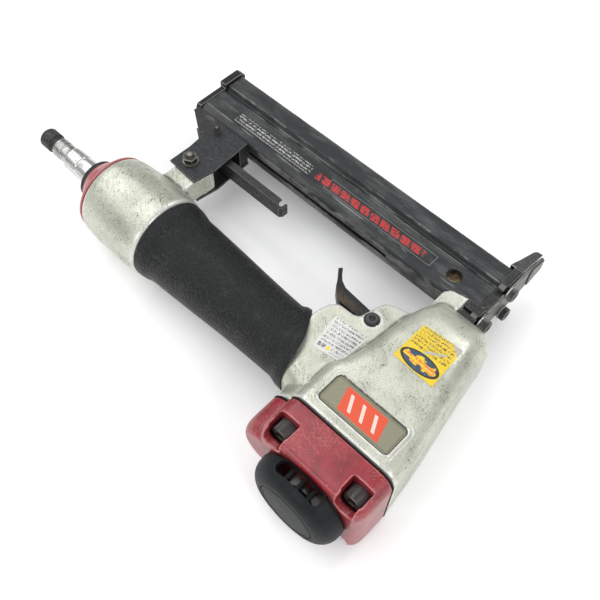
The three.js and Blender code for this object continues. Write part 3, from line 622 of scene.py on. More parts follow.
def worn_paint(name, colour, deep):
    """Paint over steel or aluminium: mottled colour, pale chips, scuffs and faded edges."""
    finish = Finish(name)
    where = finish.spot()
    edge = finish.attribute("edge")
    cloud = finish.noise(where, 0.12, 4, 0.6)
    fine = finish.noise(where, 1.3, 4, 0.65)
    base = finish.blend(cloud.fade(0.35, 0.7), colour, deep)
    chips = finish.noise(where, 0.55, 5, 0.75).fade(0.655, 0.675)
    flecks = fine.fade(0.66, 0.70) * finish.noise(where, 0.07, 2).fade(0.48, 0.66)
    scuff = finish.noise(finish.spot((0.25, 1.4, 1), (0.2, 0.1, 0.8)), 1.0, 4, 0.6).fade(0.63, 0.70)
    rubbed = (edge + fine * 0.03).fade(0.035, 0.075)
    used = finish.noise(where, 0.05, 2).fade(0.40, 0.60)
    for spin, stretch in ((0.5, (0.22, 3.2, 1.0)), (-0.7, (0.22, 3.2, 1.0)), (1.3, (0.16, 3.6, 1.2))):
        hairs = finish.noise(finish.spot(stretch, (0, 0, spin)), 1.0, 2, 0.6, 0.5)
        scuff = finish.most(scuff, hairs.fade(0.60, 0.65) * used)
    base = finish.blend(rubbed * 0.75, base, (0.50, 0.16, 0.16))
    base = finish.blend(finish.most(flecks * 0.7, scuff * 0.4), base, (0.56, 0.22, 0.20))
    base = finish.blend(chips * 0.7, base, (0.52, 0.36, 0.33))
    grime = edge.fade(-0.008, -0.05)
    base = finish.blend(grime * 0.9, base, (0.03, 0.012, 0.012))
    away = abs(finish.axis(where, "X") - CAP_MIDDLE).fade(0, 40)
    return finish.done(
        Base_Color=base,
        Roughness=0.34 + cloud * 0.15 + finish.most(chips, scuff) * 0.2 + away * 0.02,
        Coat_Weight=0.4,
        Coat_Roughness=0.16,
        Normal=finish.bump(finish.noise(where, 0.9, 2) * 0.6 - chips * 0.5 + fine * 0.2, 0.06, 0.7),
    )


red_paint = worn_paint("red_paint", (0.275, 0.011, 0.021), (0.185, 0.008, 0.015))
cone = rim("end_cone", [
    (-119.4, 20), (-130.2, 20), (-130.2, 24.8), (-131.4, 24.6), (-136, 19.2), (-143.6, 13.2),
    (-143.6, 6.8), (-119.4, 6.8),
], (COLLAR_Y, MIDDLE))
show(mark_edges(cone, 1), red_paint, "tool", "red", "end_cap")


def black_rubber():
    finish = Finish("smooth_rubber")
    where = finish.spot()
    cloud = finish.noise(where, 0.6, 4, 0.6)
    return finish.done(
        Base_Color=finish.blend(cloud.fade(0.45, 0.7), (0.010, 0.010, 0.010), (0.035, 0.034, 0.033)),
        Roughness=0.5 + cloud * 0.25, Normal=finish.bump(finish.noise(where, 3, 2), 0.03, 0.6),
    )


ring_black = black_rubber()
ring = rim("inlet_ring_rubber", [
    (-147.4, 7.6), (-147.4, 11.6), (-146.2, 12.7), (-145.4, 12.3), (-144.6, 12.7), (-143.8, 12),
    (-143.8, 7.6),
], (COLLAR_Y, MIDDLE), radius=0.35)
show(ring, ring_black, "tool", "black_rubber", "inlet_ring")


def barrel_finish():
    finish = Finish("scuffed_chrome")
    where = finish.spot()
    lines = finish.noise(finish.spot((0.06, 1.6, 1.6)), 1.0, 4, 0.7)
    rust = finish.noise(finish.spot((0.25, 1, 1)), 0.55, 5, 0.75).fade(0.55, 0.68)
    grooves = lines.fade(0.60, 0.68)
    base = finish.blend(lines.fade(0.3, 0.6), (0.72, 0.72, 0.70), (0.52, 0.52, 0.50))
    dark = finish.most(grooves, rust * 0.75)
    base = finish.blend(dark, base, (0.05, 0.045, 0.04))
    return finish.done(
        Base_Color=base, Metallic=dark.fade(0.9, 0.3) * 0.6 + 0.4, Roughness=0.2 + 0.3 * dark + 0.1 * lines,
        Normal=finish.bump(1 - dark * 0.7 + finish.noise(where, 2, 2) * 0.2, 0.05, 0.7),
    )


barrel = rim("plug_barrel", [
    (-122, 3.2), (-122, 6.6), (-147.6, 6.6), (-147.6, 7.3), (-158.2, 7.3), (-158.6, 6.9), (-159.6, 6.9),
    (-160, 7.3), (-169.6, 7.3), (-170.8, 6.6), (-170.8, 3.2),
], (COLLAR_Y, MIDDLE), radius=0.25)
show(barrel, barrel_finish(), "tool", "chrome", "plug_adapter")


def dark_steel_finish(name, base_colour=(0.045, 0.047, 0.05), bright=(0.30, 0.29, 0.27), rough=0.38):
    """Blackened steel, oily in places, with bare metal showing through on scuffs and edges, and painted shade
    in its hollows.
    """
    finish = Finish(name)
    where = finish.spot()
    edge = finish.attribute("edge")
    cloud = finish.noise(where, 0.5, 5, 0.65)
    fine = finish.noise(where, 2.4, 4, 0.7)
    scuff = finish.noise(finish.spot((1.6, 0.3, 0.8), (0.4, 0.2, 0.7)), 1.0, 4, 0.65).fade(0.62, 0.69)
    rubbed = (edge + fine * 0.03).fade(0.03, 0.07)
    bare = finish.most(finish.most(scuff * 0.55, rubbed * 0.8), fine.fade(0.64, 0.70) * 0.5)
    dull = tuple(c * 0.55 for c in base_colour)
    base = finish.blend(cloud.fade(0.35, 0.65), base_colour, dull)
    base = finish.blend(bare, base, bright)
    # Painted shade: hollows such as hex sockets and knurl valleys are darkened nearly to black and lose most
    # of their specular.
    gap = edge.fade(-0.012, -0.05)
    base = finish.blend(gap * 0.9, base, (0.004, 0.004, 0.004))
    return finish.done(
        Base_Color=base, Metallic=0.3 + bare * 0.5, Roughness=rough + cloud * 0.2 - bare * 0.05,
        Specular_IOR_Level=0.45 - gap * 0.4,
        Normal=finish.bump(fine * 0.5 + cloud * 0.5 - scuff * 0.3, 0.05, 0.7),
    )


dark_steel = dark_steel_finish("blackened_steel")
nipple = rim("plug_nipple", [
    (-171, 2.6), (-171, 5.9), (-176.5, 5.9), (-177, 6.2), (-182.5, 6.2), (-183, 5.9), (-183.6, 5),
    (-186.2, 5), (-186.8, 6.3), (-194.6, 6.3), (-195.8, 5.2), (-195.8, 2.6),
], (COLLAR_Y, MIDDLE), radius=0.3)


def nipple_finish():
    finish = Finish("worn_nipple")
    where = finish.spot()
    bright = finish.axis(where, "X").fade(-184.0, -183.4)
    round_ribs = finish.noise(finish.spot((2.6, 0.12, 0.12)), 1.0, 3, 0.6)
    specks = finish.noise(where, 0.9, 4, 0.7)
    black = finish.blend(specks.fade(0.52, 0.66), (0.018, 0.019, 0.020), (0.075, 0.07, 0.06))
    metal = finish.blend(round_ribs.fade(0.42, 0.62), (0.50, 0.50, 0.485), (0.15, 0.148, 0.14))
    metal = finish.blend(specks.fade(0.60, 0.68) * 0.8, metal, (0.06, 0.05, 0.04))
    return finish.done(
        Base_Color=finish.blend(bright, black, metal),
        Metallic=0.2 + bright * 0.7,
        Roughness=0.5 - bright * 0.22,
        Normal=finish.bump(specks + round_ribs * bright, 0.08, 0.8),
    )


show(nipple, nipple_finish(), "tool", "dark_steel", "air_plug")


# Red cylinder cap. A painted casting over the cylinder's end, with a side lobe over
# the valve passage and a notch at each corner for a socket screw; a black gasket
# line shows under it.
CAP_ROWS = [(-52.8, 0.2), (-53.4, 0), (-68, 0), (-71, 0.3), (-73.6, 1.2), (-75.2, 2.4), (-76, 3.8)]
SCREW_SPOTS = [(x, h) for x in (53.2, 98.9) for h in (18, -18)]
COVER_AXIS = (76.5, MIDDLE)


def cap_rows(levels):
    main = [(y, 44 + d, 109 - d, 28.5 - d, 9 - d / 2) for y, d in levels]
    lobe = [(y, 32 + d, 66, 15.5 - d, 15 - d) for y, d in levels]
    return [skin_mesh("cap", rings_across_y(rows)) for rows in (main, lobe)]


def notch(x, side):
    """Cutter for one screw notch, open at its side: deep round the head, shallower beyond it."""
    sections = []
    for y, half, floor in ((-84, 5.2, 18), (-71.6, 5.4, 16.5), (-70.6, 6.1, 12.3), (-62, 6.1, 12.3)):
        reach = soft_rectangle(x - half, x + half, 20, 4)
        height = MIDDLE + side * (floor + 20 + reach[:, 1])
        sections.append(np.stack([reach[:, 0], np.full(len(reach), y), height], 1))
    return skin_mesh("notch", np.array(sections))


def cylinder_cap():
    made = soften(fused("cylinder_cap", cap_rows(CAP_ROWS)), 0.75, 4)
    carve(made, [notch(x, math.copysign(1, h)) for x, h in SCREW_SPOTS])
    made = soften(made, 0.55, 2)
    carve(made, [rod(-50, -66, 17.5, (BORE_X, MIDDLE), "y"), rod(-60, -80, 2.65, COVER_AXIS, "y", 32)])
    return shade(mark_edges(made, 2), 55)


show(cylinder_cap(), red_paint, "tool", "red", "top_cap")
gasket = fused("gasket", cap_rows([(-52.1, -0.15), (-52.6, -0.15)]))
soften(gasket, 0.3, 1)
carve(gasket, [rod(-50, -66, 17.5, (BORE_X, MIDDLE), "y")])
show(shade(gasket), ring_black, "tool", "black_rubber", "cap_gasket")


# Socket head screws. Blackened steel, a straight knurl round the head and a
# hexagon socket in its top; the four on the cap stand in the notches.
def socket_screw(name, tip, shank, base, top, head, key, depth, centre, along):
    """Rows along the screw; on head rows the radius is head - 0.3 in each of 40 flutes,
    and on socket rows it is the hexagon's key / cos(angle within its sixth)."""
    steps = 240
    angle = np.arange(steps) / steps * 2 * math.pi
    flute = 0.5 + 0.5 * np.tanh(4 * np.sin(40 * angle))
    sixth = (angle % (math.pi / 3)) - math.pi / 6
    hexagon = key / np.cos(sixth)
    fluted = head - 0.3 * (1 - flute)
    up = 1 if top > base else -1
    rows = [
        (tip, 0), (tip, shank), (base, shank), (base, head - 0.3),
        (base + up * 0.35, fluted), (top - up * 0.7, fluted),
        (top - up * 0.35, head - 0.2), (top, head - 0.65),
        (top, hexagon + 0.25), (top - up * 0.25, hexagon), (top - up * depth, hexagon), (top - up * depth, 0),
    ]
    at = np.array([row[0] for row in rows])[:, None] + 0 * angle
    spread = np.array([row[1] + 0 * angle for row in rows])
    first, second = centre[0] + spread * np.cos(angle), centre[1] + spread * np.sin(angle)
    grid = np.stack(in_order(along, at, first, second), 2)
    return shade(object_from(name, skin_mesh(name, grid)), 30)


screw_steel = dark_steel_finish("screw_steel", (0.013, 0.0135, 0.014), (0.16, 0.155, 0.145), 0.30)
for number, (x, h) in enumerate(SCREW_SPOTS, 1):
    screw = socket_screw(f"cap_bolt_{number}", -37, 3, -62.1, -69.7, 5.3, 2.5, 3.6, (x, MIDDLE + h), "y")
    show(mark_edges(screw, 0), screw_steel, "tool", "dark_steel", f"cap_screw_{number}")


# Exhaust cover. A black moulded dome that turns by hand, with two long windows, each
# with a raised rim and three ribs behind it, and a paler disc let into its top.
COVER = [
    (-76.6, 22.8), (-76.6, 24.9), (-77.0, 25.8), (-78.4, 26), (-82, 25.8), (-84.6, 25), (-86.8, 23.6),
    (-88.6, 21.6), (-89.7, 19.4), (-90, 18.2), (-90, 16.8), (-89.4, 16.6), (-88.8, 16.6), (-88.8, 5.2),
    (-86.4, 5.2), (-86.4, 3.2), (-78.5, 3.2), (-78.5, 7), (-86.9, 7), (-86.9, 16.4), (-84.4, 22.2),
    (-80, 23.2),
]
DISC = [
    (-88.9, 0), (-88.9, 16.2), (-89.7, 16.3), (-90.1, 15.9), (-90.05, 15.2), (-89.75, 15), (-89.75, 14.6),
    (-90.05, 14.3), (-90.3, 0),
]
WINDOW_Y = -80.7


def on_quarter(quarter, x, y, z):
    """Points given from the cover's axis, turned about it by a number of quarter turns."""
    c, s = math.cos(quarter * math.pi / 2), math.sin(quarter * math.pi / 2)
    return np.stack([COVER_AXIS[0] + c * x + s * z, y, MIDDLE - s * x + c * z], 2)


def window(quarter, depth):
    """Stadium-ended prism through one side of the cover, turned to its quarter."""
    flat = soft_rectangle(-13.6, 13.6, 3.5, 3.1)
    x, y = flat[:, 0] + np.zeros((len(depth), 1)), flat[:, 1] + WINDOW_Y + np.zeros((len(depth), 1))
    return on_quarter(quarter, x, y, np.array(depth, float)[:, None] + 0 * x)


def exhaust_cover():
    rings = turned(eased(COVER, 0.5, True), COVER_AXIS, "y", 128)
    made = object_from("exhaust_cover", skin_mesh("cover", rings, True))
    carve(made, [skin_mesh("window", window(quarter, (17, 32))) for quarter in (0, 2)])
    return made


def window_rim(quarter):
    """A round bead of 0.45 mm carried along the window's outline, bent onto the cover's side."""
    flat = soft_rectangle(-14.0, 14.0, 3.9, 3.5, 24)
    outward = flat - np.clip(flat, [-10.5, -0.4], [10.5, 0.4])
    outward /= np.linalg.norm(outward, axis=1)[:, None]
    sweep = np.arange(10) / 10 * 2 * math.pi
    x = flat[:, :1] + 0.45 * np.cos(sweep) * outward[:, :1]
    y = flat[:, 1:] + 0.45 * np.cos(sweep) * outward[:, 1:] + WINDOW_Y
    side = np.array(COVER[1:9])
    radius = np.interp(-y, -side[:, 0], side[:, 1])
    z = np.sqrt(np.clip(radius**2 - x**2, 0, None)) + 0.45 * np.sin(sweep)
    rim_mesh = skin_mesh("rim", on_quarter(quarter, x, y, z), True)
    return shade(object_from(f"window_rim_{quarter + 1}", rim_mesh), 80)


def window_web(quarter, number, offset):
    """One upright rib behind a window."""
    up = 1 if quarter == 0 else -1
    low, high = sorted((up * 15.5, up * 18.5))
    left, right = 75.6 + offset, 77.4 + offset
    outline = [(left, -85), (right, -85), (right, -76.8), (left, -76.8)]
    web_mesh = skin_mesh("web", slab(eased(outline, 0.3, True), low, high))
    return shade(object_from(f"window_web_{quarter + 1}_{number}", web_mesh))


def cover_finish(name, colour, dusty, grit):
    finish = Finish(name)
    where = finish.spot()
    cloud = finish.noise(where, 0.16, 4, 0.65)
    fine = finish.noise(where, 1.8, 4, 0.7)
    scuff = finish.noise(finish.spot((0.2, 1.1, 1.5), (0.5, 0.3, 0.9)), 1.0, 4, 0.65).fade(0.63, 0.70)
    wear = finish.most(cloud.fade(0.5, 0.75) * 0.6, scuff * 0.5)
    base = finish.blend(wear, colour, dusty)
    base = finish.blend(fine.fade(0.58, 0.72) * grit, base, (0.15, 0.15, 0.145))
    return finish.done(
        Base_Color=base, Roughness=0.40 + cloud * 0.2 + fine * 0.08, Specular_IOR_Level=0.2,
        Normal=finish.bump(fine * 0.7 + cloud * 0.3, 0.05, 0.8),
    )


cover_black = cover_finish("moulded_black", (0.0055, 0.007, 0.008), (0.018, 0.020, 0.021), 0.12)
cover = show(shade(exhaust_cover(), 40), cover_black, "exhaust", "plastic_black", "exhaust_deflector")
for quarter in (0, 2):
    show(window_rim(quarter), cover_black, "exhaust", "plastic_black")
    for number, offset in enumerate((-7, 0, 7), 1):
        show(window_web(quarter, number, offset), cover_black, "exhaust", "plastic_black")
disc = object_from("cover_disc", skin_mesh("disc", turned(eased(DISC, 0.15), COVER_AXIS, "y", 96)))
disc_grey = cover_finish("disc_grey", (0.013, 0.0155, 0.0145), (0.032, 0.034, 0.031), 0.40)
show(shade(disc, 40), disc_grey, "exhaust", "plastic_black", "deflector_disc")


# Eased copies. A node whose CAD shape already is right is copied and its edges are
# rounded, so that they catch the light as worn steel does.
def longest_side(mesh, face):
    return max((mesh.vertices[a].co - mesh.vertices[b].co).length for a, b in face.edge_keys)


def cad_copy(name, node, bevel, segments=2):
    """A copy of a CAD node with its triangles merged, flat faces joined and edges eased;
    attribute "edge" is 0.07 on the narrow faces the easing makes and 0 elsewhere."""
    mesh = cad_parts[node].data.copy()
    tidy_mesh(mesh, 2e-6)
    work = bmesh.new()
    work.from_mesh(mesh)
    bmesh.ops.dissolve_limit(work, angle_limit=math.radians(1), verts=work.verts, edges=work.edges)
    work.to_mesh(mesh)
    work.free()
    made = object_from(name, mesh)
    ease = made.modifiers.new("ease", "BEVEL")
    ease.width = bevel / 1000.0
    ease.segments = segments
    ease.limit_method = "ANGLE"
    ease.angle_limit = math.radians(28)
    ease.use_clamp_overlap = True
    settle(made)
    faces = made.data.polygons
    areas = np.empty(len(faces))
    faces.foreach_get("area", areas)
    widths = areas / np.array([longest_side(made.data, face) for face in faces])
    narrow = (widths < bevel / 1000.0).astype(np.float32) * 0.07
    made.data.attributes.new("edge", "FLOAT", "FACE").data.foreach_set("value", narrow)
    shade(made)
    level_flats = made.modifiers.new("level_flats", "WEIGHTED_NORMAL")
    level_flats.weight = 100
    level_flats.keep_sharp = True
    return settle(made)


def show_copy(name, node, bevel, segments, material, body, finish_slot):
    """Shows an eased copy of a CAD node in the node's place."""
    show(cad_copy(name, node, bevel, segments), material, body, finish_slot, node)


# Name plate. A thin printed metal plate set in a pocket, with two raised beads cast
# round it: pale olive, a dark line inside its edge and an orange block with plain bars.
def bead(name, flat, radius, height):
    """A round bead carried along a closed outline of [x, y] pairs at one height."""
    ahead = np.roll(flat, -1, 0) - np.roll(flat, 1, 0)
    outward = np.stack([ahead[:, 1], -ahead[:, 0]], 1) / np.linalg.norm(ahead, axis=1)[:, None]
    sweep = np.arange(12) / 12 * 2 * math.pi
    side = radius * np.cos(sweep)
    up = MIDDLE + height + radius * np.sin(sweep) + 0 * flat[:, :1]
    grid = np.stack([flat[:, :1] + side * outward[:, :1], flat[:, 1:] + side * outward[:, 1:], up], 2)
    return shade(object_from(name, skin_mesh(name, grid, True)), 80)


def plate_finish():
    finish = Finish("printed_plate")
    where = finish.spot(centre=(76, -37.5, MIDDLE + 28))
    across, up = finish.axis(where, "X"), finish.axis(where, "Y")
    x, y = abs(across), abs(up)
    fine = finish.noise(where, 1.5, 4, 0.7)
    base = finish.blend(fine.fade(0.35, 0.7), (0.255, 0.245, 0.165), (0.19, 0.185, 0.125))
    block_share = abs(across + up * 0.28).fade(12.6, 12.4) * y.fade(6.4, 6.2)
    slant = fract((across + up * 0.5) / 7.4 + 0.5)
    bars = abs(slant - 0.5).fade(0.14, 0.125) * y.fade(4.2, 4.05) * x.fade(10.6, 10.4)
    orange = finish.blend(bars, (0.66, 0.078, 0.032), (0.70, 0.58, 0.50))
    base = finish.blend(block_share, base, orange)
    line = finish.most(x.fade(20.1, 20.3) * x.fade(20.7, 20.5), y.fade(6.9, 7.0) * y.fade(7.4, 7.3))
    dirt = finish.noise(where, 0.9, 4, 0.7).fade(0.62, 0.70) * 0.6
    base = finish.blend(finish.most(line * 0.5, dirt), base, (0.06, 0.055, 0.045))
    return finish.done(
        Base_Color=base, Metallic=0.15, Roughness=0.36 + fine * 0.2, Normal=finish.bump(fine, 0.02, 0.6),
    )


plate = object_from("name_plate_sheet", skin_mesh("plate", slab(plate_outline(0, 2), 27.6, 28.0)))
show(shade(plate, 30), plate_finish(), "tool", "plate", "name_plate")
plate_rims = (("plate_rim", 1.1, 2.8, 0.75, 28.3), ("plate_outer_rim", 2.8, 3.6, 0.55, 27.95))
for name, grow, corner, radius, height in plate_rims:
    rim_cast = bead(name, plate_outline(grow, corner, 12), radius, height)
    show(mark_edges(rim_cast, 0), casting_grey, "tool", "cast")


# Stick-on films on the casting. Thin vinyl pressed onto the curved side: yellow on
# the head, white on the valve housing, with plain printed marks, torn and scuffed.
def film(name, corners, across, along, lift=0.14, thick=0.09):
    """Bilinear grid between four [x, y] corners, dropped straight down onto the casting;
    its UV map is in millimetres, along the first edge and along the last."""
    corners = np.asarray(corners, float)
    u, v = np.meshgrid(np.linspace(0, 1, 61), np.linspace(0, 1, 61), indexing="ij")
    u3, v3 = u[..., None], v[..., None]
    flat = ((1 - u3) * (1 - v3) * corners[0] + u3 * (1 - v3) * corners[1]
            + u3 * v3 * corners[2] + (1 - u3) * v3 * corners[3])
    points = np.concatenate([flat, np.full((*u.shape, 1), 70.0)], 2).reshape(-1, 3)
    spot = np.arange(61 * 61).reshape(61, 61)
    faces = np.stack([spot[:-1, :-1], spot[1:, :-1], spot[1:, 1:], spot[:-1, 1:]], 2).reshape(-1, 4)
    mesh = bpy.data.meshes.new(name)
    mesh.from_pydata(place(points).tolist(), [], faces.tolist())
    loops = np.empty(len(mesh.loops), int)
    mesh.loops.foreach_get("vertex_index", loops)
    size = np.stack([u.ravel() * across, v.ravel() * along], 1)
    mesh.uv_layers.new(name="film").data.foreach_set("uv", size[loops].ravel())
    made = object_from(name, mesh)
    press = made.modifiers.new("press", "SHRINKWRAP")
    press.wrap_method = "PROJECT"
    press.use_project_z = True
    press.use_positive_direction = False
    press.use_negative_direction = True
    press.target = body
    press.offset = lift / 1000.0
    body_of_film = made.modifiers.new("body", "SOLIDIFY")
    body_of_film.thickness = thick / 1000.0
    body_of_film.offset = 0
    settle(made)
    tidy_mesh(made.data, 1e-7)
    return shade(made, 50)


def lines_of_marks(finish, u, v, pitch, height, width, seed, dense=0.46):
    """Rows of short plain dashes: a row where the fraction of v / pitch is below height, broken
    along u where a noise that changes from row to row falls below dense."""
    row = finish.maths("FLOOR", v / pitch)
    within = fract(v / pitch)
    key = finish.node("CombineXYZ", {}, (u / width, row * 3.7 + seed, within * 1.6))
    dashes = finish.noise(key, 1.0, 2, 0.6).fade(dense - 0.03, dense + 0.03)
    return abs(within - 0.5).fade(height * 0.5, height * 0.5 - 0.08) * dashes


def inside_span(value, low, high, soft=0.4):
    """1 from low to high with soft ends of the given width."""
    return value.fade(low, low + soft) * value.fade(high, high - soft)


def yellow_finish():
    finish = Finish("yellow_film")
    uv = finish.film()
    u, v = finish.axis(uv, "X"), finish.axis(uv, "Y")
    where = finish.spot()
    fine = finish.noise(where, 1.2, 4, 0.7)
    base = finish.blend(fine.fade(0.3, 0.75), (0.78, 0.56, 0.02), (0.64, 0.45, 0.02))
    text = lines_of_marks(finish, u, v, 2.3, 0.72, 0.5, 1.0, 0.52) * v.fade(11.4, 11.8)
    base = finish.blend(text * inside_span(u, 0.9, 23.8) * 0.9, base, (0.06, 0.05, 0.03))
    # The oval: its outline, a wavy blue field and marks on the yellow band through it.
    along = (u - 12.4) * 0.44
    up = v - 5.6
    away = finish.maths("POWER", along * along + up * up, 0.5)
    inside = away.fade(4.7, 4.5)
    outline = abs(away - 4.8).fade(0.42, 0.28)
    waves = finish.noise(finish.node("CombineXYZ", {}, (u * 0.5, v, 0.0)), 0.42, 1, 0.5)
    blue = inside * abs(up + (waves - 0.5) * 9.0).fade(1.7, 2.1)
    marks = lines_of_marks(finish, u + v * 0.4, v - 0.35, 2.4, 0.7, 0.9, 5.0, 0.45)
    marks = inside * marks * abs(up).fade(2.2, 1.8) * blue.fade(0.6, 0.2)
    base = finish.blend(blue, base, (0.025, 0.065, 0.105))
    base = finish.blend(marks * 0.9, base, (0.72, 0.16, 0.03))
    base = finish.blend(outline, base, (0.02, 0.02, 0.018))
    # Rubbed patches, a missing corner and one long tear show the metal.
    rub = finish.noise(finish.spot((1.2, 0.35, 1), (0, 0, -0.6)), 0.9, 5, 0.7)
    worn_zone = finish.noise(where, 0.11, 2).fade(0.42, 0.6)
    torn = rub.fade(0.60, 0.63) * worn_zone
    corner = (u + v * 1.1 + fine * 6.0).fade(48.6, 50.0)
    tear = abs(u * 0.55 - v + 4.4 + fine * 3.0).fade(0.95, 0.6) * u.fade(9.5, 11) * u.fade(21.0, 19.0)
    gone = finish.most(finish.most(torn * 0.75, corner), tear)
    return finish.done(
        Base_Color=finish.blend(gone, base, (0.42, 0.41, 0.37)),
        Roughness=0.32 + gone * 0.3 + fine * 0.1,
        Normal=finish.bump(1 - gone + fine * 0.3, 0.06, 0.8),
    )


yellow = film("head_film", [(65.8, -3.5), (90.6, -4.0), (89.3, 22.6), (66.3, 20.6)], 24.8, 25)
show(yellow, yellow_finish(), "tool", "sticker_yellow", "head_label")


def white_finish():
    finish = Finish("white_film")
    uv = finish.film()
    u, v = finish.axis(uv, "X"), finish.axis(uv, "Y")
    fine = finish.noise(finish.spot(), 1.2, 4, 0.7)
    base = finish.blend(fine.fade(0.35, 0.75), (0.70, 0.70, 0.675), (0.58, 0.58, 0.555))
    text = lines_of_marks(finish, u, v, 2.45, 0.72, 0.42, 3.0, 0.53) * v.fade(5.4, 5.7)
    text = text * inside_span(u, 0.8, 20.4)
    low = lines_of_marks(finish, u, v, 2.45, 0.72, 0.42, 9.0, 0.53) * v.fade(1.0, 1.3)
    low = low * inside_span(u, 11.0, 20.0)
    base = finish.blend(finish.most(text, low) * 0.85, base, (0.07, 0.07, 0.07))
    for centre in (2.9, 5.7):
        square = finish.most(abs(u - centre), abs(v - 3.4)).fade(1.2, 1.1)
        base = finish.blend(square * fine.fade(0.62, 0.5), base, (0.06, 0.06, 0.06))
    diamond = (abs(u - 8.9) + abs(v - 3.2)).fade(1.7, 1.5)
    base = finish.blend(diamond, base, (0.80, 0.60, 0.05))
    worn = finish.noise(finish.spot((0.5, 1, 1), (0, 0, 0.7)), 0.8, 4, 0.7).fade(0.62, 0.68)
    return finish.done(
        Base_Color=finish.blend(worn * 0.6, base, (0.42, 0.42, 0.40)),
        Roughness=0.38 + fine * 0.12,
        Normal=finish.bump(fine - worn * 0.5, 0.03, 0.7),
    )


white = film("housing_film", [(29.6, -22.6), (46.2, -19.4), (47.8, 1.0), (26.6, -1.4)], 21, 21)
show(white, white_finish(), "tool", "sticker_white", "housing_label")


# Trigger, its pin and the valve. A folded steel trigger, blackened and greasy
# inside, swings on a pin across the housing and presses a brass-bodied valve.
def greasy_finish():
    finish = Finish("greasy_trigger")
    where = finish.spot()
    edge = finish.attribute("edge")
    grime = finish.noise(where, 0.25, 5, 0.7).fade(0.42, 0.6)
    fine = finish.noise(where, 2.0, 4, 0.7)
    inside = finish.axis(where, "Y").fade(21.0, 15.0)
    base = finish.blend(grime * inside, (0.012, 0.013, 0.014), (0.075, 0.052, 0.030))
    base = finish.blend((edge + fine * 0.02).fade(0.025, 0.06) * 0.6, base, (0.20, 0.20, 0.19))
    base = finish.blend(fine.fade(0.62, 0.70) * 0.5, base, (0.13, 0.12, 0.10))
    return finish.done(
        Base_Color=base,
        Metallic=0.4,
        Roughness=0.38 + grime * 0.25,
        Normal=finish.bump(fine + grime, 0.07, 0.8),
    )


def pressed_pin(name, rows, centre, steps, material, finish_slot, node):
    """A turned pin or bolt that stands across the tool."""
    made = object_from(name, skin_mesh(name, turned(eased(rows, 0.3), centre, "z", steps)))
    show(mark_edges(shade(made), 0), material, "tool", finish_slot, node)


show_copy("trigger_lever", "trigger", 0.5, 3, greasy_finish(), "trigger", "black_steel")
pressed_pin("pivot_pin", [
    (14.6, 0), (14.6, 2.5), (45.4, 2.5), (45.4, 3.9), (46.6, 3.9), (47.1, 3.3), (47.1, 1.7), (46.3, 1.5),
    (46.3, 0),
], PIVOT, 64, dark_steel, "dark_steel", "trigger_pin")


def ground_finish(name, colour, dull, rough=0.3, stretch=(0.15, 1.5, 1.5)):
    """Bare metal with fine lines along one axis, dull patches and a few dark stains."""
    finish = Finish(name)
    lines = finish.noise(finish.spot(stretch), 1.2, 3, 0.6)
    stain = finish.noise(finish.spot(), 0.35, 5, 0.7).fade(0.58, 0.70)
    base = finish.blend(lines.fade(0.3, 0.7), colour, dull)
    return finish.done(
        Base_Color=finish.blend(stain * 0.75, base, (0.09, 0.075, 0.06)),
        Metallic=0.9 - stain * 0.5,
        Roughness=rough + lines * 0.15 + stain * 0.3,
        Normal=finish.bump(lines, 0.02, 0.6),
    )


ground = ground_finish("ground_steel", (0.50, 0.50, 0.485), (0.36, 0.36, 0.35))
brass = ground_finish("turned_brass", (0.50, 0.36, 0.14), (0.34, 0.24, 0.09))
bumper_rubber = cover_finish("bumper_rubber", (0.030, 0.025, 0.020), (0.06, 0.05, 0.04), 0.2)
valve_white = cover_finish("valve_plastic", (0.55, 0.55, 0.50), (0.42, 0.42, 0.38), 0.2)
show_copy("valve_body", "valve_housing", 0.2, 2, brass, "tool", "brass")
show_copy("valve_button", "valve_stem", 0.15, 2, ground, "valve_stem", "bare_steel")


def dress(material, *nodes):
    """Assigns a material to CAD nodes whose shape already is the real one."""
    for node in nodes:
        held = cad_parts[node].data.materials
        held.clear()
        held.append(material)


dress(ground, "cylinder_liner", "piston", "driver_blade", "deflector_screw")
dress(bumper_rubber, "bumper")
dress(valve_white, "head_valve")
dress(ring_black, "piston_ring")


def coil(name, node, along, start, length, ring, wire, turns, centre):
    """Round wire on the helix start + length * t, ring * (cos, sin)(2 pi turns t)."""
    t, around = np.meshgrid(np.linspace(0, 1, turns * 32 + 1), np.arange(8) / 8 * 2 * math.pi, indexing="ij")
    angle = 2 * math.pi * turns * t
    spread = ring + wire * np.cos(around)
    at = start + length * t + wire * np.sin(around)
    first, second = centre[0] + spread * np.cos(angle), centre[1] + spread * np.sin(angle)
    grid = np.stack(in_order(along, at, first, second), 2)
    made = shade(object_from(name, skin_mesh(name, grid)), 60)
    made.data.materials.append(ground)
    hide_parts(node)
    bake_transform(made)


coil("valve_coil", "head_valve_spring", "y", -65.3, 13, 14.5, 0.6, 4, (BORE_X, MIDDLE))
coil("pusher_coil", "pusher_spring", "x", -139.2, 144.4, 2.5, 0.45, 15, (86.4, MIDDLE))


# Magazine. Two long folded-steel channels, black coated, with the coating rubbed
# thin along every fold. The upper one has a sight hole, and both slide back together
# for loading.
FOLDS = (55.2, 60.5, 75.4, 77.4, 79.9, 91.4)
SIGHT_HOLE, SIGHT_RADIUS = (53.4, 66.6), 4.75


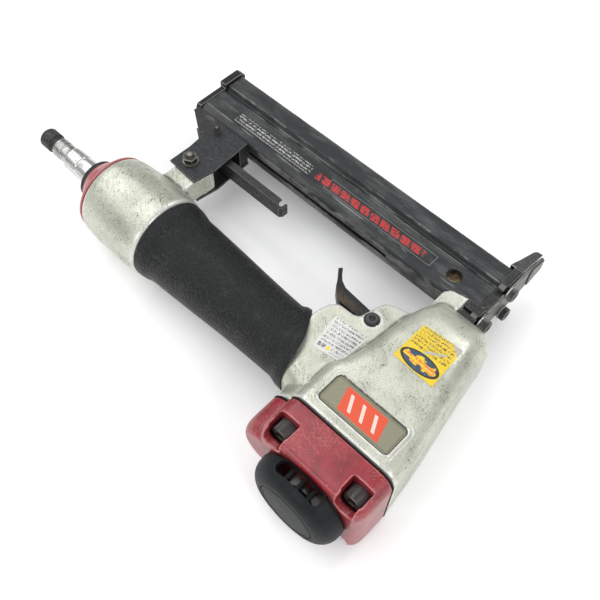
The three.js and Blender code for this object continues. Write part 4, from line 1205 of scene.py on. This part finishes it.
def magazine_finish():
    finish = Finish("worn_black_coating")
    where = finish.spot()
    y = finish.axis(where, "Y")
    broad = finish.noise(finish.spot((0.3, 1, 1)), 0.16, 4, 0.65)
    fine = finish.noise(where, 2.2, 4, 0.7)
    long_lines = finish.noise(finish.spot((0.035, 1.8, 1.8)), 1.0, 4, 0.65)
    base = finish.blend(broad.fade(0.4, 0.72), (0.019, 0.0215, 0.0225), (0.054, 0.058, 0.059))
    worn = None
    for fold in FOLDS:
        near_fold = (abs(y - fold) + (fine - 0.5) * 0.8).fade(0.65, 0.15)
        worn = near_fold if worn is None else finish.most(worn, near_fold)
    worn = worn * (broad + fine * 0.25).fade(0.56, 0.76)
    scratch = long_lines.fade(0.61, 0.66) * broad.fade(0.38, 0.62)
    flecks = fine.fade(0.60, 0.66) * broad.fade(0.38, 0.6)
    rub = finish.most(finish.most(worn * 0.75, scratch * 0.5), flecks * 0.8)
    return finish.done(
        Base_Color=finish.blend(rub, base, (0.27, 0.268, 0.255)),
        Metallic=rub * 0.5,
        Roughness=0.40 + broad * 0.14 + fine * 0.1,
        Specular_IOR_Level=0.32,
        Normal=finish.bump(fine * 0.7 - rub * 0.4 + long_lines * 0.4, 0.045, 0.8),
    )


magazine_black = magazine_finish()
coated = dark_steel_finish("coated_steel", (0.010, 0.011, 0.012), (0.16, 0.15, 0.135), 0.42)
show_copy("magazine_top", "magazine_upper", 0.4, 3, magazine_black, "magazine", "black_steel")
show_copy("magazine_base", "magazine_lower", 0.4, 3, magazine_black, "magazine", "black_steel")
show_copy("magazine_end", "magazine_end_plate", 0.6, 3, coated, "magazine", "black_steel")
turn_back = np.arange(64) / 64 * -2 * math.pi
sight_ring = SIGHT_HOLE + SIGHT_RADIUS * np.stack([np.cos(turn_back), np.sin(turn_back)], 1)
show(bead("sight_lip", sight_ring, 0.35, 8.7), magazine_black, "magazine", "black_steel")


BAND = {"x0": -119.6, "x1": 41.4, "y0": 61.3, "y1": 70.6, "height": 8.86}


def printed_band(name, x0, x1, y0, y1, height):
    """Flat film with a millimetre UV map from its lower left corner."""
    outline = eased([(x0, y0), (x1, y0), (x1, y1), (x0, y1)], 1.2, True)
    mesh = skin_mesh(name, slab(outline, height, height + 0.1))
    corner = np.empty(len(mesh.vertices) * 3)
    mesh.vertices.foreach_get("co", corner)
    flat = corner.reshape(-1, 3)[:, :2] * 1000.0 - DATUM[:2] - (x0, y0)
    loops = np.empty(len(mesh.loops), int)
    mesh.loops.foreach_get("vertex_index", loops)
    mesh.uv_layers.new(name="film").data.foreach_set("uv", flat[loops].ravel())
    return shade(object_from(name, mesh), 30)


def band_finish():
    finish = Finish("printed_band")
    uv = finish.film()
    u, v = finish.axis(uv, "X"), finish.axis(uv, "Y")
    fine = finish.noise(finish.spot(), 2.2, 4, 0.7)
    broad = finish.noise(finish.spot((0.3, 1, 1)), 0.16, 4, 0.65)
    base = finish.blend(broad.fade(0.4, 0.72), (0.017, 0.0195, 0.0205), (0.046, 0.050, 0.051))
    white = lines_of_marks(finish, u, v, 2.35, 0.62, 0.6, 2.0, 0.5)
    white = white * abs(v - 4.6).fade(3.6, 3.4) * u.fade(2.5, 3.0) * u.fade(66.0, 65.0)
    # Red blocks: leaning cells with a gap between, each broken by a winding line.
    lean = u + v * 0.45
    stroke = finish.noise(finish.node("CombineXYZ", {}, (lean * 0.9, v * 0.55, 0.0)), 0.9, 1, 0.5)
    red = abs(fract(lean / 7.6) - 0.5).fade(0.42, 0.39) * abs(v - 4.5).fade(2.6, 2.4)
    red = red * abs(stroke - 0.5).fade(0.03, 0.055) * u.fade(70.0, 70.6) * u.fade(152.5, 152.0)
    # A fine pale outline round the red blocks.
    from_middle = abs(u - 119.0)
    edge_v = abs(v - 4.65)
    outline = abs(edge_v - 4.1).fade(0.22, 0.12) * finish.most(from_middle - 39.6, 0.0).fade(0.4, 0.2)
    side = abs(from_middle - 39.8).fade(0.22, 0.12) * edge_v.fade(4.2, 4.0)
    faded = fine.fade(0.72, 0.5)
    pale = finish.most(white, finish.most(outline, side) * 0.35)
    base = finish.blend(pale * faded, base, (0.50, 0.50, 0.48))
    return finish.done(
        Base_Color=finish.blend(red * faded, base, (0.55, 0.035, 0.035)),
        Roughness=0.36 + fine * 0.12,
        Specular_IOR_Level=0.32,
        Normal=finish.bump(fine, 0.02, 0.6),
    )


band = printed_band("magazine_band", **BAND)
show(band, band_finish(), "magazine", "sticker_dark", "magazine_label")


def staple_finish():
    finish = Finish("coated_staples")
    where = finish.spot()
    gap = abs(fract(finish.axis(where, "X") / 1.05) - 0.5).fade(0.34, 0.47)
    cloud = finish.noise(where, 0.32, 4, 0.7)
    base = finish.blend(cloud.fade(0.46, 0.54), (0.30, 0.22, 0.14), (0.13, 0.095, 0.062))
    base = finish.blend(gap, base, (0.02, 0.015, 0.01))
    return finish.done(Base_Color=base, Metallic=0.6, Roughness=0.4, Normal=finish.bump(1 - gap, 0.25, 1.0))


rail_grey = ground_finish("rail_steel", (0.20, 0.205, 0.21), (0.12, 0.12, 0.125), 0.36)
dress(rail_grey, "guide_rail")
dress(staple_finish(), "staple_strip")
dress(ground, "pusher")


# Nose. A blackened block and foot bolted under a ground steel front plate, which
# together form the staple's channel; four socket screws on washers hold the stack.
nose_steel = dark_steel_finish("nose_steel", (0.024, 0.025, 0.025), (0.42, 0.405, 0.36), 0.36)
foot_black = dark_steel_finish("foot_black", (0.060, 0.061, 0.058), (0.60, 0.59, 0.56), 0.34)
front_steel = ground_finish("front_steel", (0.20, 0.20, 0.19), (0.10, 0.099, 0.093), 0.36, (1.5, 0.2, 1.5))
show_copy("nose_block", "nose_base", 0.45, 3, nose_steel, "tool", "dark_steel")
show_copy("foot", "contact_foot", 0.5, 3, foot_black, "tool", "black_steel")
show_copy("front_sheet", "front_plate", 0.25, 2, front_steel, "tool", "bare_steel")
show_copy("tip_pad", "tip_guard", 0.2, 2, front_steel, "tool", "bare_steel")
nose_spots = [(y, side) for y in (52, 78) for side in (1, -1)]
for number, (y, side) in enumerate(nose_spots, 1):
    head = 4.6 if y < 60 else 3.2
    centre = (y, MIDDLE + side * 9.8)
    screw = socket_screw(f"nose_bolt_{number}", 75.6, 2.4, 82.6, 82.6 + head, 4, 2.0, 2.4, centre, "x")
    show(mark_edges(screw, 0), screw_steel, "tool", "dark_steel", f"nose_screw_{number}")
    section = [(81.65, 2.6), (81.65, 4.3), (82.5, 4.3), (82.5, 2.6)]
    washer = rim(f"nose_ring_{number}", section, centre, "x", 48, 0.15)
    show(washer, ground, "tool", "bare_steel", f"nose_washer_{number}")


# Rear bracket and latch. Two black plates clamp the casting's lug with one bolt,
# and carry the latch, a folded grey lever with three holes and a turned-up end.
LUG_HOLE, LATCH_PIN = (-110.6, 20.5), (-115.8, 47.2)
bracket_black = dark_steel_finish("bracket_black", (0.029, 0.031, 0.033), (0.20, 0.195, 0.185), 0.42)
lever_grey = dark_steel_finish("lever_grey", (0.034, 0.035, 0.036), (0.30, 0.295, 0.28), 0.36)
old_zinc = dark_steel_finish("old_zinc", (0.036, 0.033, 0.029), (0.24, 0.23, 0.205), 0.34)
for name, node in (("plate_near", "near"), ("plate_far", "far"), ("spacer", "spacer")):
    show_copy(name, f"bracket_{node}", 0.35, 3, bracket_black, "tool", "black_steel")
show_copy("latch", "latch_lever", 0.35, 3, lever_grey, "latch", "grey_steel")
pressed_pin("latch_rivet", [
    (20.4, 0), (20.4, 2), (43.3, 2), (44.2, 1.4), (44.4, 0),
], LATCH_PIN, 40, coated, "grey_steel", "latch_pin")
pressed_pin("through_bolt", [
    (17, 0), (17, 3.9), (17.6, 4.2), (20.7, 4.2), (20.7, 2.5), (44.8, 2.5), (45.6, 2.0), (45.9, 0),
], LUG_HOLE, 48, old_zinc, "zinc", "lug_bolt")
show_copy("bolt_nut", "lug_nut", 0.45, 3, old_zinc, "tool", "zinc")
washer = rim("bolt_washer", [(39.3, 2.7), (39.3, 5), (40.1, 5), (40.1, 2.7)], LUG_HOLE, "z", 48, 0.2)
show(mark_edges(washer, 0), old_zinc, "tool", "zinc", "lug_washer")
